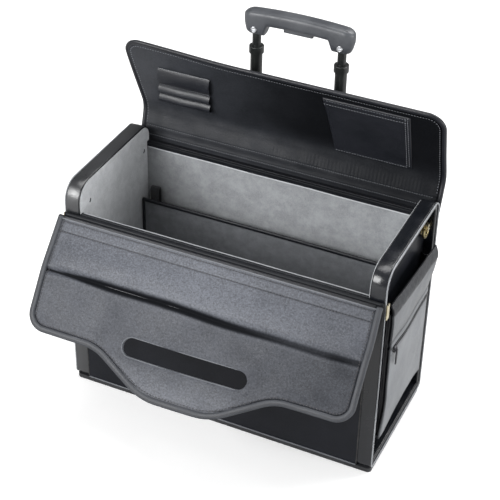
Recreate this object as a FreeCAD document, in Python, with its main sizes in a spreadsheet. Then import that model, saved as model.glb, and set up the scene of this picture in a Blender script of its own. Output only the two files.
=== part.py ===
import FreeCAD, Part
import os
import Sketcher

# Wheeled catalogue case, open: two rimmed ends, a front flap hanging open, a rear flap standing up,
# a pocket on each end and a three-stage pull handle behind the rear wall.
# Frame, in millimetres: origin on the floor under the middle of the box, X to the right, Y to the
# back, Z up. A flap is drawn flat in its own frame: local Y runs from the hinge to the free edge.

doc = FreeCAD.newDocument("rolling_laptop_case")
sheet = doc.addObject("Spreadsheet::Sheet", "dims")
Vec = FreeCAD.Vector


class Dim:
    """A length or angle that carries its value and the sheet expression that drives it."""

    def __init__(self, value, text):
        self.value = value
        self.text = text

    def __add__(self, other):
        return joined(self, "+", dim(other), self.value + dim(other).value)

    def __radd__(self, other):
        return dim(other) + self

    def __sub__(self, other):
        return joined(self, "-", dim(other), self.value - dim(other).value)

    def __rsub__(self, other):
        return dim(other) - self

    def __mul__(self, other):
        return joined(self, "*", dim(other), self.value * dim(other).value)

    def __rmul__(self, other):
        return dim(other) * self

    def __truediv__(self, other):
        return joined(self, "/", dim(other), self.value / dim(other).value)

    def __neg__(self):
        return Dim(-self.value, "(0 - " + self.text + ")")


def joined(left, sign, right, value):
    return Dim(value, "(" + left.text + " " + sign + " " + right.text + ")")


def dim(number):
    return number if isinstance(number, Dim) else Dim(float(number), repr(float(number)))


class Cells:
    """The driving dimensions, one named sheet cell each."""


def fill_sheet(rows):
    cells = Cells()
    for number, (alias, value, note) in enumerate(rows, start=1):
        sheet.set("A" + str(number), note)
        sheet.set("B" + str(number), str(value))
        sheet.setAlias("B" + str(number), alias)
        setattr(cells, alias, Dim(float(value), "dims." + alias))
    doc.recompute()
    return cells


d = fill_sheet([
    ("end_outer", 226.0, "outer face of the end rims, from the middle"),
    ("end_inner", 206.0, "inner face of the end rims"),
    ("half_depth", 97.0, "half the front-to-back depth of the box"),
    ("skid_height", 8.0, "height of the moulded skid frame under the box"),
    ("skid_width", 16.0, "width of the skid frame's band"),
    ("rim_top", 329.0, "top of the end rims above the floor"),
    ("rim_band", 10.0, "thickness of the rims round the end boards"),
    ("front_corner", 28.0, "rim radius at the front top corner"),
    ("rear_corner", 18.0, "rim radius at the rear top corner"),
    ("foot_corner", 6.0, "rim radius at the bottom corners"),
    ("bead", 2.5, "width of the piping bead at the rim's outer edge"),
    ("bead_depth", 4.0, "depth of the piping bead round the rim"),
    ("board", 5.0, "thickness of walls and floor"),
    ("felt", 1.5, "thickness of the felt lining"),
    ("felt_gap", 2.0, "bare rim left round the end felt"),
    ("end_board", 7.0, "thickness of an end board"),
    ("front_top", 284.0, "top of the front wall"),
    ("rear_top", 298.0, "top of the rear wall"),
    ("rail_skin", 1.2, "skin of the rails that cap the walls"),
    ("rail_drop", 10.0, "how far the front rail reaches down its wall"),
    ("rear_rail_drop", 3.5, "how far the rear rail reaches down its wall"),
    ("rail_cap", 3.0, "thickness of a rail over the wall's top"),
    ("divider_y", 70.0, "middle plane of the file divider"),
    ("divider_top", 216.0, "top of the file divider"),
    ("divider_skin", 2.4, "thickness of the divider"),
    ("strap_x", -187.0, "middle of the retaining strap loop"),
    ("strap_width", 14.0, "width of the retaining strap"),
    ("strap_rise", 26.0, "height of the strap loop above the divider's hem"),
    ("pocket_front", -68.0, "front edge of an end pocket"),
    ("pocket_rear", 84.0, "rear edge of an end pocket"),
    ("pocket_low", 43.0, "bottom of an end pocket"),
    ("pocket_zip", 194.0, "height where the end pocket starts to flare"),
    ("pocket_top", 249.0, "foot of the pocket's top hem"),
    ("pocket_hem", 14.0, "height of the pocket's top hem"),
    ("pocket_skin", 2.5, "thickness of the pocket panel"),
    ("pocket_out", 226.0, "inner face of the pocket panel below the zip"),
    ("pocket_flare", 10.0, "how far the pocket's mouth stands out"),
    ("zip_height", 12.0, "height of the zip tape"),
    ("zip_skin", 1.0, "thickness of the zip tape"),
    ("zip_inset", 6.0, "from the pocket's front and rear edges to the ends of the zip tape"),
    ("ring_y", 76.0, "middle of the D-ring bracket"),
    ("ring_z", 292.0, "height of the D-ring pivot"),
    ("ring_wire", 2.2, "radius of the D-ring wire"),
    ("front_hinge_y", -100.0, "front flap hinge line, back to front"),
    ("front_hinge_z", 286.0, "front flap hinge line, height"),
    ("front_base_slope", 46.0, "slope of the front flap next to its hinge"),
    ("front_main_slope", 54.0, "slope of the front flap's panel"),
    ("front_crease", 75.0, "hinge to the start of the front flap's panel"),
    ("front_strip", 28.0, "end of the stiff strip next to the front hinge"),
    ("front_half", 229.0, "half width of the front flap"),
    ("front_lobe", 84.5, "crease to the lobe edge of the front flap"),
    ("front_tip", 129.0, "crease to the tip of the front flap's tongue"),
    ("wave_outer", 128.0, "where the wavy edge leaves the lobe"),
    ("wave_inner", 50.0, "where the wavy edge reaches the tongue"),
    ("wave_half_tan", 0.2623, "tangent of half the wavy edge's angle"),
    ("slot_half", 89.0, "half length of the handle slot"),
    ("slot_radius", 12.5, "half width of the handle slot"),
    ("slot_s", 67.5, "crease to the middle of the handle slot"),
    ("flap_board", 4.0, "thickness of a flap's panel"),
    ("flap_skin", 2.5, "thickness of a flap's hinge strip and fold"),
    ("hem", 5.0, "width of the bound edge of a flap"),
    ("hem_skin", 5.2, "thickness of the bound edge of a flap"),
    ("rear_hinge_y", 100.0, "rear flap hinge line, back to front"),
    ("rear_hinge_z", 298.0, "rear flap hinge line, height"),
    ("rear_base_slope", 69.2, "direction of the rear flap next to its hinge"),
    ("rear_main_slope", 107.6, "direction of the rear flap's panel"),
    ("rear_crease", 51.0, "hinge to the start of the rear flap's panel"),
    ("rear_strip", 12.0, "end of the stiff strip next to the rear hinge"),
    ("rear_half", 226.0, "half width of the rear flap"),
    ("rear_length", 115.0, "crease to the free edge of the rear flap"),
    ("rear_round", 24.0, "corner radius of the rear flap"),
    ("pen_low", 18.0, "crease to the bottom of the pen loops"),
    ("pen_high", 82.0, "crease to the top of the pen loops"),
    ("pen_channel", 17.0, "height of each of the two lower pen channels"),
    ("pen_left", -191.0, "left edge of the pen loops"),
    ("pen_right", -113.0, "right edge of the pen loops"),
    ("pen_rise", 8.0, "height of a pen loop over the panel"),
    ("card_left", 60.0, "left end of the card pocket's top edge"),
    ("card_mouth", 10.0, "how far the slanted mouth leans, bottom to top"),
    ("card_right", 180.0, "right edge of the card pocket"),
    ("card_low", 4.0, "crease to the bottom of the card pocket"),
    ("card_high", 100.0, "crease to the top of the card pocket"),
    ("card_skin", 1.6, "thickness of the card pocket"),
    ("carry_s", 75.0, "crease to the middle of the carry handle"),
    ("carry_half", 64.0, "half distance between the carry handle's ends"),
    ("carry_rise", 15.0, "height of the carry handle's middle line"),
    ("carry_radius", 6.0, "radius of the carry handle's grip"),
    ("lock_x", 145.0, "middle of a lock from the middle of the flap"),
    ("lock_s", 41.5, "rear crease to the middle of a lock body"),
    ("hasp_s", 67.0, "front crease to the middle of a hasp plate"),
    ("plate_skin", 0.8, "thickness of the hasp and backing plates"),
    ("lock_half", 22.0, "half length of a lock body"),
    ("lock_deep", 12.0, "half width of a lock body"),
    ("lock_rise", 13.0, "height of a lock body"),
    ("dial_radius", 7.0, "radius of a number dial"),
    ("dial_width", 3.0, "width of a number dial"),
    ("dial_pitch", 6.0, "spacing of the number dials"),
    ("dial_shaft", 1.5, "radius of the dials' shaft"),
    ("dial_play", 0.08, "radial play of a dial on its shaft"),
    ("tube_x", 61.5, "pull-handle tubes from the middle"),
    ("tube_y", 142.0, "plane of the pull-handle tubes"),
    ("tube_base", 40.0, "bottom of the fixed tubes"),
    ("tube_top", 288.0, "top of the fixed tubes"),
    ("tube_wall", 1.9, "wall of each tube"),
    ("tube_play", 0.1, "radial play of a tube in the next one"),
    ("grip_tube", 6.0, "outer radius of the top stage's tubes"),
    ("collar", 10.0, "height of the collar on a tube"),
    ("stage_one_top", 298.6, "top of the first moving stage"),
    ("stage_one_low", 62.0, "bottom of the first moving stage"),
    ("stage_two_top", 462.5, "top of the second moving stage"),
    ("stage_two_low", 238.0, "bottom of the second moving stage"),
    ("stage_three_low", 258.0, "bottom of the top stage"),
    ("grip_half", 79.0, "half width of the pull-handle grip"),
    ("grip_low", 496.0, "underside of the grip bar"),
    ("grip_top", 517.0, "top of the grip bar"),
    ("grip_boss", 480.0, "underside of the grip's end bosses"),
    ("grip_screw", 490.0, "middle height of the grip's screws"),
    ("grip_boss_half", 17.0, "half width of an end boss"),
    ("grip_front", 130.5, "front face of the grip"),
    ("grip_back", 153.5, "rear face of the grip"),
    ("button_half", 21.0, "half length of the release button"),
    ("wheel_x", 175.0, "middle of a wheel"),
    ("wheel_y", 126.5, "axle line of the wheels"),
    ("wheel_radius", 26.0, "radius of a wheel"),
    ("hub_radius", 18.0, "radius of a wheel's hub"),
    ("wheel_half", 11.0, "half width of a wheel"),
    ("axle_radius", 4.0, "radius of a wheel axle"),
    ("axle_play", 0.08, "radial play of a hub on its axle"),
    ("cheek", 4.0, "thickness of a wheel housing's cheek"),
])

case_bottom = d.skid_height
floor_top = case_bottom + d.board
wall_inner = d.half_depth - d.board
board_face = d.end_inner + d.end_board
tube_outer_two = d.grip_tube + d.tube_play + d.tube_wall + 0.25
tube_outer_one = tube_outer_two + d.tube_play + d.tube_wall
tube_outer_fixed = tube_outer_one + d.tube_play + d.tube_wall


# --- building blocks -----------------------------------------------------------------------------

def new_body(label):
    return doc.addObject("PartDesign::Body", label)


def sketch_on(body, role, level):
    plane = [f for f in body.Origin.OriginFeatures if f.Role == role][0]
    sketch = body.newObject("Sketcher::SketchObject", body.Name + "_sketch")
    sketch.AttachmentSupport = [(plane, "")]
    sketch.MapMode = "FlatFace"
    sketch.setExpression("AttachmentOffset.Base.z", dim(level).text)
    return sketch


def pin(sketch, edge, end, across, up):
    """Hold one point of a sketch at sheet-driven distances from the sketch's origin."""
    for kind, size, axis in (("DistanceX", dim(across), -2), ("DistanceY", dim(up), -1)):
        if size.value == 0:
            sketch.addConstraint(Sketcher.Constraint("PointOnObject", edge, end, axis))
            continue
        index = sketch.addConstraint(Sketcher.Constraint(kind, -1, 1, edge, end, size.value))
        sketch.setExpression("Constraints[" + str(index) + "]", size.text)


def radius_of(sketch, edge, radius):
    index = sketch.addConstraint(Sketcher.Constraint("Radius", edge, dim(radius).value))
    sketch.setExpression("Constraints[" + str(index) + "]", dim(radius).text)


def draw_polygon(sketch, points):
    first = sketch.GeometryCount
    spots = [Vec(dim(u).value, dim(v).value, 0) for u, v in points]
    count = len(points)
    for i in range(count):
        sketch.addGeometry(Part.LineSegment(spots[i], spots[(i + 1) % count]), False)
    for i in range(count):
        after = first + (i + 1) % count
        sketch.addConstraint(Sketcher.Constraint("Coincident", first + i, 2, after, 1))
    for i, (u, v) in enumerate(points):
        pin(sketch, first + i, 1, u, v)


def draw_path(sketch, knots):
    """An open chain of straight lines through sheet-driven points."""
    spots = [Vec(dim(u).value, dim(v).value, 0) for u, v in knots]
    for start, end in zip(spots, spots[1:]):
        sketch.addGeometry(Part.LineSegment(start, end), False)
    last = len(spots) - 2
    for i in range(last):
        sketch.addConstraint(Sketcher.Constraint("Coincident", i, 2, i + 1, 1))
    for i, (u, v) in enumerate(knots[:-1]):
        pin(sketch, i, 1, u, v)
    pin(sketch, last, 2, knots[-1][0], knots[-1][1])


def draw_circle(sketch, across, up, radius):
    centre = Vec(dim(across).value, dim(up).value, 0)
    circle = Part.Circle(centre, Vec(0, 0, 1), dim(radius).value)
    edge = sketch.addGeometry(circle, False)
    pin(sketch, edge, 3, across, up)
    radius_of(sketch, edge, radius)


def draw_stadium(sketch, across, up, half, radius):
    """A slot with round ends, its long side along the sketch's X."""
    across, up, reach, radius = dim(across), dim(up), dim(half) - radius, dim(radius)
    up_axis = Vec(0, 0, 1)
    arcs = []
    for side, start in ((1, -90), (-1, 90)):
        centre = Vec(across.value + side * reach.value, up.value, 0)
        whole = Part.Circle(centre, up_axis, radius.value)
        low = start * 3.141592653589793 / 180
        arc = Part.ArcOfCircle(whole, low, low + 3.141592653589793)
        arcs.append(sketch.addGeometry(arc, False))
        pin(sketch, arcs[-1], 3, across + side * reach, up)
    lines = []
    for side in (1, -1):
        ends = [Vec(across.value + side * turn * reach.value, up.value + side * radius.value, 0)
                for turn in (1, -1)]
        lines.append(sketch.addGeometry(Part.LineSegment(ends[0], ends[1]), False))
    right, left = arcs
    over, under = lines
    for arc, arc_end, line, line_end in ((right, 2, over, 1), (left, 1, over, 2),
                                         (left, 2, under, 1), (right, 1, under, 2)):
        sketch.addConstraint(Sketcher.Constraint("Tangent", arc, arc_end, line, line_end))
    radius_of(sketch, right, radius)


def extrude(body, sketch, length, kind="Pad"):
    feature = body.newObject("PartDesign::" + kind, body.Name + "_" + kind.lower())
    feature.Profile = sketch
    feature.setExpression("Length", dim(length).text)
    sketch.Visibility = False
    doc.recompute()
    if not feature.isValid():
        raise ValueError(body.Label + ": a feature failed")
    return feature


ROLES = {"X": "YZ_Plane", "Y": "XZ_Plane", "Z": "XY_Plane"}


def pad(body, axis, low, high, draw):
    """Add material between two levels along an axis; draw(sketch) lays out the profile."""
    start = -dim(high) if axis == "Y" else dim(low)
    sketch = sketch_on(body, ROLES[axis], start)
    draw(sketch)
    extrude(body, sketch, dim(high) - low)
    return body


def cut(body, axis, low, high, draw):
    """Remove material between two levels along an axis."""
    start = -dim(low) if axis == "Y" else dim(high)
    sketch = sketch_on(body, ROLES[axis], start)
    draw(sketch)
    before = body.Shape.Volume
    extrude(body, sketch, dim(high) - low, "Pocket")
    if body.Shape.Volume > before - 1e-6:
        raise ValueError(body.Label + ": a cut removed nothing")
    return body


def box_outline(left, right, low, high):
    return lambda sketch: draw_polygon(sketch, [(left, low), (right, low), (right, high), (left, high)])


def ring_outline(across, up, inner, outer):
    def draw(sketch):
        draw_circle(sketch, across, up, outer)
        draw_circle(sketch, across, up, inner)
    return draw


def disc_outline(across, up, radius):
    return lambda sketch: draw_circle(sketch, across, up, radius)


def slab(label, left, right, front, back, low, high):
    """A plain rectangular board as a padded sketch."""
    return pad(new_body(label), "Z", low, high, box_outline(left, right, front, back))


def edges_where(body, test):
    """Names of the edges whose middle point and direction pass a test."""
    names = []
    for number, edge in enumerate(body.Tip.Shape.Edges, start=1):
        middle = edge.valueAt((edge.FirstParameter + edge.LastParameter) / 2)
        if test(middle, edge):
            names.append("Edge" + str(number))
    return names


def soften(body, size, test, kind="Fillet"):
    """Round or chamfer the edges that pass a test."""
    base = body.Tip
    names = edges_where(body, test)
    if not names:
        raise ValueError(body.Label + ": no edge to soften")
    feature = body.newObject("PartDesign::" + kind, body.Name + "_" + kind.lower())
    feature.Base = (base, names)
    feature.setExpression("Radius" if kind == "Fillet" else "Size", dim(size).text)
    doc.recompute()
    if not feature.isValid():
        raise ValueError(body.Label + ": a rounding failed")
    return feature


def runs_along(edge, axis):
    """Whether an edge is straight and parallel to an axis."""
    if edge.Curve.TypeId != "Part::GeomLine":
        return False
    direction = edge.Curve.Direction
    return abs(abs(direction.dot(axis)) - 1) < 1e-6


def near(value, target):
    return abs(value - dim(target).value) < 0.05


def mirrored(source, label):
    """The same piece on the other side of the middle plane."""
    image = doc.addObject("Part::Mirroring", label)
    image.Source = source
    image.Base = Vec(0, 0, 0)
    image.Normal = Vec(1, 0, 0)
    doc.recompute()
    return image


def grouped(label, *pieces):
    group = doc.addObject("Part::Compound", label)
    group.Links = list(pieces)
    doc.recompute()
    return group


def pair(label, right):
    right.Label = label + "_right"
    return grouped(label, right, mirrored(right, label + "_left"))


def put(thing, across, back, up, turn=0):
    """Place a piece from the sheet, turned about the case's left-to-right axis."""
    spot = "create(<<vector>>; " + "; ".join(dim(v).text for v in (across, back, up)) + ")"
    angle = "create(<<rotation>>; create(<<vector>>; 1; 0; 0); " + dim(turn).text + ")"
    thing.setExpression("Placement", "create(<<placement>>; " + spot + "; " + angle + ")")
    doc.recompute()
    return thing


def cosine(angle):
    return Dim(Vec(1, 0, 0).dot(FreeCAD.Rotation(Vec(0, 0, 1), angle.value).multVec(Vec(1, 0, 0))),
               "cos(" + angle.text + ")")


def sine(angle):
    return Dim(Vec(0, 1, 0).dot(FreeCAD.Rotation(Vec(0, 0, 1), angle.value).multVec(Vec(1, 0, 0))),
               "sin(" + angle.text + ")")


# --- the box -------------------------------------------------------------------------------------

def rounded_end(body, low, high, inset):
    """The outline of a case end, pulled in by an inset, between two levels along X."""
    reach = d.half_depth - inset
    bottom = case_bottom + inset
    top = d.rim_top - inset
    pad(body, "X", low, high, box_outline(-reach, reach, bottom, top))
    along_x = Vec(1, 0, 0)
    corners = ((-1, top, d.front_corner), (1, top, d.rear_corner))
    for side, level, radius in corners:
        soften(body, radius - inset,
               lambda p, e: runs_along(e, along_x) and near(p.y, side * reach) and near(p.z, level))
    return body


def end_ring(label, low, high, depth):
    """A band round the case end: the end's outline less the same outline pulled in."""
    outer = rounded_end(new_body(label + "_outer"), low, high, dim(0))
    inner = rounded_end(new_body(label + "_inner"), low - 1, high + 1, depth)
    ring = doc.addObject("Part::Cut", label)
    ring.Base = outer
    ring.Tool = inner
    doc.recompute()
    return ring


def end_felt():
    """Felt on the inner side of a case end: between the walls below, out to the rim above them."""
    low = floor_top + d.felt
    front_step = d.front_top + d.rail_cap + 1
    rear_step = d.rear_top + d.rail_cap + 1
    edge = d.half_depth - d.felt_gap
    top = d.rim_top - d.felt_gap
    wall = wall_inner - d.rail_skin - d.felt - 0.3
    profile = [(-wall, low), (wall, low), (wall, rear_step), (edge, rear_step), (edge, top),
               (-edge, top), (-edge, front_step), (-wall, front_step)]
    felt = pad(new_body("end_felt"), "X", d.end_inner - d.felt, d.end_inner,
               lambda s: draw_polygon(s, profile))
    along_x = Vec(1, 0, 0)
    for side, radius in ((-1, d.front_corner), (1, d.rear_corner)):
        soften(felt, radius - d.felt_gap,
               lambda p, e: runs_along(e, along_x) and near(p.y, side * edge) and near(p.z, top))
    return felt


def make_box():
    slab("base_board", -d.end_inner, d.end_inner, -wall_inner, wall_inner, case_bottom, floor_top)
    slab("front_wall", -d.end_inner, d.end_inner, -d.half_depth, -wall_inner, case_bottom, d.front_top)
    slab("rear_wall", -d.end_inner, d.end_inner, wall_inner, d.half_depth, case_bottom, d.rear_top)
    pair("end_rims", end_ring("rim", d.end_inner, d.end_outer, d.rim_band))
    pair("rim_pipings", end_ring("piping", d.end_outer, d.end_outer + d.bead, d.bead_depth))
    pair("end_boards", rounded_end(new_body("board"), d.end_inner, board_face, d.rim_band))
    pair("end_linings", end_felt())


def make_linings():
    reach = wall_inner - d.felt
    front = slab("front_felt", -d.end_inner, d.end_inner, -wall_inner, -reach, floor_top, d.front_top - 1)
    rear = slab("rear_felt", -d.end_inner, d.end_inner, reach, wall_inner, floor_top, d.rear_top - 1)
    base = slab("floor_felt", -d.end_inner, d.end_inner, -reach, reach, floor_top, floor_top + d.felt)
    grouped("wall_linings", front, rear, base)


def make_rail(label, outer, inner, top, drop):
    """A U-shaped rail over the top of a wall; outer and inner are the faces it grips."""
    side = 1 if dim(outer).value > dim(inner).value else -1
    out_face = outer + side * d.rail_skin
    in_face = inner - side * d.rail_skin
    foot = top - drop
    profile = [(out_face, foot), (outer, foot), (outer, top), (inner, top), (inner, foot),
               (in_face, foot), (in_face, top + d.rail_cap), (out_face, top + d.rail_cap)]
    rail = pad(new_body(label), "X", -d.end_inner, d.end_inner, lambda s: draw_polygon(s, profile))
    soften(rail, dim(1.0), lambda p, e: runs_along(e, Vec(1, 0, 0)) and near(p.z, top + d.rail_cap))
    return rail


def make_skid():
    skid = slab("base_skid_frame", -d.end_outer, d.end_outer, -d.half_depth, d.half_depth, dim(0), case_bottom)
    upright = Vec(0, 0, 1)
    soften(skid, d.foot_corner, lambda p, e: runs_along(e, upright))
    reach_x = d.end_outer - d.skid_width
    reach_y = d.half_depth - d.skid_width
    cut(skid, "Z", dim(0), case_bottom, box_outline(-reach_x, reach_x, -reach_y, reach_y))
    soften(skid, dim(1.5), lambda p, e: near(p.z, 0), "Chamfer")


def make_divider():
    reach = d.end_inner - d.felt - 0.5
    half = d.divider_skin / 2
    panel = slab("divider_pocket", -reach, reach, d.divider_y - half, d.divider_y + half,
                 floor_top + d.felt, d.divider_top)
    hem_low = d.divider_top - 6
    pad(panel, "Z", hem_low, d.divider_top + 2,
        box_outline(-reach, reach, d.divider_y - half - 0.8, d.divider_y + half + 0.8))
    soften(panel, dim(0.9), lambda p, e: near(p.z, d.divider_top + 2) and runs_along(e, Vec(1, 0, 0)))


def make_strap():
    """A folded strap loop that stands behind the divider at the left."""
    front = d.divider_y + d.divider_skin / 2 + 1.2
    back = front + 9
    low = d.divider_top - 30
    high = d.divider_top + d.strap_rise
    skin = 1.6
    left = d.strap_x - d.strap_width / 2
    right = d.strap_x + d.strap_width / 2
    profile = [(front, low), (back, low), (back, high), (front, high)]
    strap = pad(new_body("retaining_strap"), "X", left, right, lambda s: draw_polygon(s, profile))
    along_x = Vec(1, 0, 0)
    soften(strap, dim(4.0), lambda p, e: runs_along(e, along_x) and near(p.z, high))
    cut(strap, "X", left, right, box_outline(front + skin, back - skin, low + skin, high - 5))


# --- the end pockets and fittings ----------------------------------------------------------------

def make_pockets():
    inner = d.pocket_out
    flare = d.pocket_flare
    skin = d.pocket_skin
    profile = [(inner, d.pocket_low), (inner + skin, d.pocket_low), (inner + skin, d.pocket_zip),
               (inner + flare + skin, d.pocket_top), (inner + flare, d.pocket_top),
               (inner, d.pocket_zip)]
    front, rear = d.pocket_front, d.pocket_rear
    panel = pad(new_body("right_pocket_panel"), "Y", front, rear,
                lambda s: draw_polygon(s, profile))
    hem = [(inner + flare - 1.2, d.pocket_top), (inner + flare + skin + 1.2, d.pocket_top),
           (inner + flare + skin + 0.2, d.pocket_top + d.pocket_hem),
           (inner + flare - 2.2, d.pocket_top + d.pocket_hem)]
    pad(panel, "Y", front, rear, lambda s: draw_polygon(s, hem))
    mirrored(panel, "left_pocket_panel")
    web = 2.0
    walls = [(front, d.pocket_low), (rear, d.pocket_low),
             (rear, d.pocket_top - 20), (rear - web, d.pocket_top - 20),
             (rear - web, d.pocket_low + web), (front + web, d.pocket_low + web),
             (front + web, d.pocket_top - 20), (front, d.pocket_top - 20)]
    pair("pocket_gussets", pad(new_body("gusset"), "X", board_face, inner, lambda s: draw_polygon(s, walls)))


def make_zips():
    face = d.pocket_out + d.pocket_skin
    low = d.pocket_zip - d.zip_height - 1
    high = d.pocket_zip - 1
    front, rear = d.pocket_front + d.zip_inset, d.pocket_rear - d.zip_inset
    pair("pocket_zip_tapes", slab("zip_tape", face, face + d.zip_skin, front, rear, low, high))
    middle = (low + high) / 2
    start = front + 3
    out = face + d.zip_skin
    slider = slab("right_zip_slider", out, out + 3, start, start + 9, middle - 4, middle + 4)
    pad(slider, "Z", middle - 22, middle + 1, box_outline(out + 1, out + 2.2, start + 2, start + 7))
    mirrored(slider, "left_zip_slider")


def make_end_fittings():
    face = board_face
    plate = slab("ring_plate", face, face + 1.6, d.ring_y - 9, d.ring_y + 9, d.ring_z - 9, d.ring_z + 9)
    soften(plate, dim(2.0), lambda p, e: runs_along(e, Vec(1, 0, 0)))
    out = face + 1.6
    reach = out + 7
    loop = box_outline(d.ring_y - 4, d.ring_y + 4, d.ring_z - 5, d.ring_z + 5)
    pad(plate, "X", out - 0.2, reach, loop)
    cut(plate, "Y", d.ring_y - 5, d.ring_y + 5,
        disc_outline(out + 3.2, d.ring_z, d.ring_wire + 0.08))
    bar = slab("edge_bar", d.end_outer + d.bead, d.end_outer + d.bead + 1.6,
               -d.half_depth, -d.half_depth + 8, d.front_top - 22, d.front_top)
    soften(bar, dim(0.6), lambda p, e: runs_along(e, Vec(0, 0, 1)) and near(p.x, d.end_outer + d.bead + 1.6))
    grouped("end_fitting_plates", plate, mirrored(plate, "left_ring_plate"), bar,
            mirrored(bar, "left_edge_bar"))
    return out + 3.2


def make_d_ring(pivot_x):
    """A D-ring whose straight bar runs through the bracket and whose bow hangs down."""
    bow = 8.0
    path_body = new_body("right_d_ring")
    path = sketch_on(path_body, "YZ_Plane", pivot_x)
    spring = d.ring_z - 7
    knots = [(d.ring_y + bow, spring), (d.ring_y + bow, d.ring_z),
             (d.ring_y - bow, d.ring_z), (d.ring_y - bow, spring)]
    draw_path(path, knots)
    half_turn = 3.141592653589793
    circle = Part.Circle(Vec(d.ring_y.value, spring.value, 0), Vec(0, 0, 1), bow)
    bend = path.addGeometry(Part.ArcOfCircle(circle, half_turn, 2 * half_turn), False)
    path.addConstraint(Sketcher.Constraint("Coincident", bend, 2, 0, 1))
    path.addConstraint(Sketcher.Constraint("Coincident", bend, 1, 2, 2))
    index = path.addConstraint(Sketcher.Constraint("DistanceY", -1, 1, bend, 3, spring.value))
    path.setExpression("Constraints[" + str(index) + "]", spring.text)
    section = sketch_on(path_body, "XZ_Plane", -d.ring_y)
    draw_circle(section, pivot_x, d.ring_z, d.ring_wire)
    pipe = path_body.newObject("PartDesign::AdditivePipe", "ring_pipe")
    pipe.Profile = section
    pipe.Spine = (path, [])
    pipe.Transition = "Round corner"
    doc.recompute()
    mirrored(path_body, "left_d_ring")


# --- flaps ---------------------------------------------------------------------------------------

front_turn = 180 + d.front_base_slope
front_panel_turn = 180 + d.front_main_slope
front_crease_y = d.front_hinge_y - d.front_crease * cosine(d.front_base_slope)
front_crease_z = d.front_hinge_z - d.front_crease * sine(d.front_base_slope)
rear_crease_y = d.rear_hinge_y + d.rear_crease * cosine(d.rear_base_slope)
rear_crease_z = d.rear_hinge_z + d.rear_crease * sine(d.rear_base_slope)
half_board = d.flap_board / 2
half_hem = d.hem_skin / 2
half_skin = d.flap_skin / 2


def on_front_panel(piece):
    return put(piece, 0, front_crease_y, front_crease_z, front_panel_turn)


def on_rear_panel(piece):
    return put(piece, 0, rear_crease_y, rear_crease_z, d.rear_main_slope)


def flap_strip(label, half_width, start, end, back, up, turn):
    strip = slab(label, -half_width, half_width, start, end, -half_skin, half_skin)
    return put(strip, 0, back, up, turn)


def wave_outline(inset):
    """Half-lobed free edge of the front flap, pulled in by an inset."""
    half = d.front_half - inset
    shift = inset * d.wave_half_tan
    lobe = d.front_lobe - inset
    tip = d.front_tip - inset
    right = [(half, lobe), (d.wave_outer - shift, lobe), (d.wave_inner - shift, tip)]
    left = [(-u, v) for u, v in reversed(right)]
    return [(half, dim(0.4))] + right + left + [(-half, dim(0.4))]


def wave_plate(label, thickness, inset):
    plate = pad(new_body(label), "Z", -thickness / 2, thickness / 2,
                lambda s: draw_polygon(s, wave_outline(inset)))
    upright = Vec(0, 0, 1)
    points = wave_outline(inset)
    for (u, v), radius in ((points[1], 26 - inset), (points[2], 60 + inset), (points[3], 90 - inset)):
        soften(plate, radius, lambda p, e: runs_along(e, upright) and near(abs(p.x), u) and near(p.y, v))
    return plate


def make_front_flap():
    flap_strip("front_flap_hinge_strip", d.front_half - 3, dim(2), d.front_strip,
               d.front_hinge_y, d.front_hinge_z, front_turn)
    flap_strip("front_flap_fold", d.front_half, d.front_strip, d.front_crease - 0.8,
               d.front_hinge_y, d.front_hinge_z, front_turn)
    panel = wave_plate("front_flap_panel", d.flap_board, d.hem)
    cut(panel, "Z", -half_board, half_board,
        lambda s: draw_stadium(s, dim(0), d.slot_s, d.slot_half, d.slot_radius))
    on_front_panel(panel)
    edge = doc.addObject("Part::Cut", "front_flap_binding")
    edge.Base = wave_plate("hem_outer", d.hem_skin, dim(0))
    edge.Tool = wave_plate("hem_inner", d.hem_skin + 2, d.hem)
    on_front_panel(edge)


def rear_plate(label, thickness, inset):
    half = d.rear_half - inset
    plate = slab(label, -half, half, dim(0.4), d.rear_length - inset, -thickness / 2, thickness / 2)
    soften(plate, d.rear_round - inset,
           lambda p, e: runs_along(e, Vec(0, 0, 1)) and near(p.y, d.rear_length - inset))
    return plate


def make_rear_flap():
    flap_strip("rear_flap_hinge_strip", d.rear_half, dim(2), d.rear_strip,
               d.rear_hinge_y, d.rear_hinge_z, d.rear_base_slope)
    flap_strip("rear_flap_fold", d.rear_half, d.rear_strip, d.rear_crease - 1.6,
               d.rear_hinge_y, d.rear_hinge_z, d.rear_base_slope)
    on_rear_panel(rear_plate("rear_flap_panel", d.flap_board, d.hem))
    edge = doc.addObject("Part::Cut", "rear_flap_binding")
    edge.Base = rear_plate("rear_hem_outer", d.hem_skin, dim(0))
    edge.Tool = rear_plate("rear_hem_inner", d.hem_skin + 2, d.hem)
    on_rear_panel(edge)


def make_organiser():
    """Three pen channels, open at both ends, and a card pocket with a slanted mouth."""
    top = half_board + d.pen_rise
    loops = slab("pen_loops", d.pen_left, d.pen_right, d.pen_low, d.pen_high, half_board, top)
    along_x = Vec(1, 0, 0)
    seams = (d.pen_low, d.pen_low + d.pen_channel, d.pen_low + d.pen_channel * 2, d.pen_high)
    for low, high in zip(seams, seams[1:]):
        cut(loops, "X", d.pen_left, d.pen_right,
            box_outline(low + 1.6, high - 1.6, half_board + 1, top - 1.4))
    soften(loops, dim(1.2), lambda p, e: runs_along(e, along_x) and near(p.z, top))
    on_rear_panel(loops)
    front = half_board + d.card_skin
    corners = [(d.card_left + d.card_mouth, d.card_low), (d.card_right, d.card_low),
               (d.card_right, d.card_high), (d.card_left, d.card_high)]
    card = pad(new_body("card_pocket"), "Z", half_board, front, lambda s: draw_polygon(s, corners))
    soften(card, dim(0.5), lambda p, e: near(p.z, front))
    on_rear_panel(card)


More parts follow.
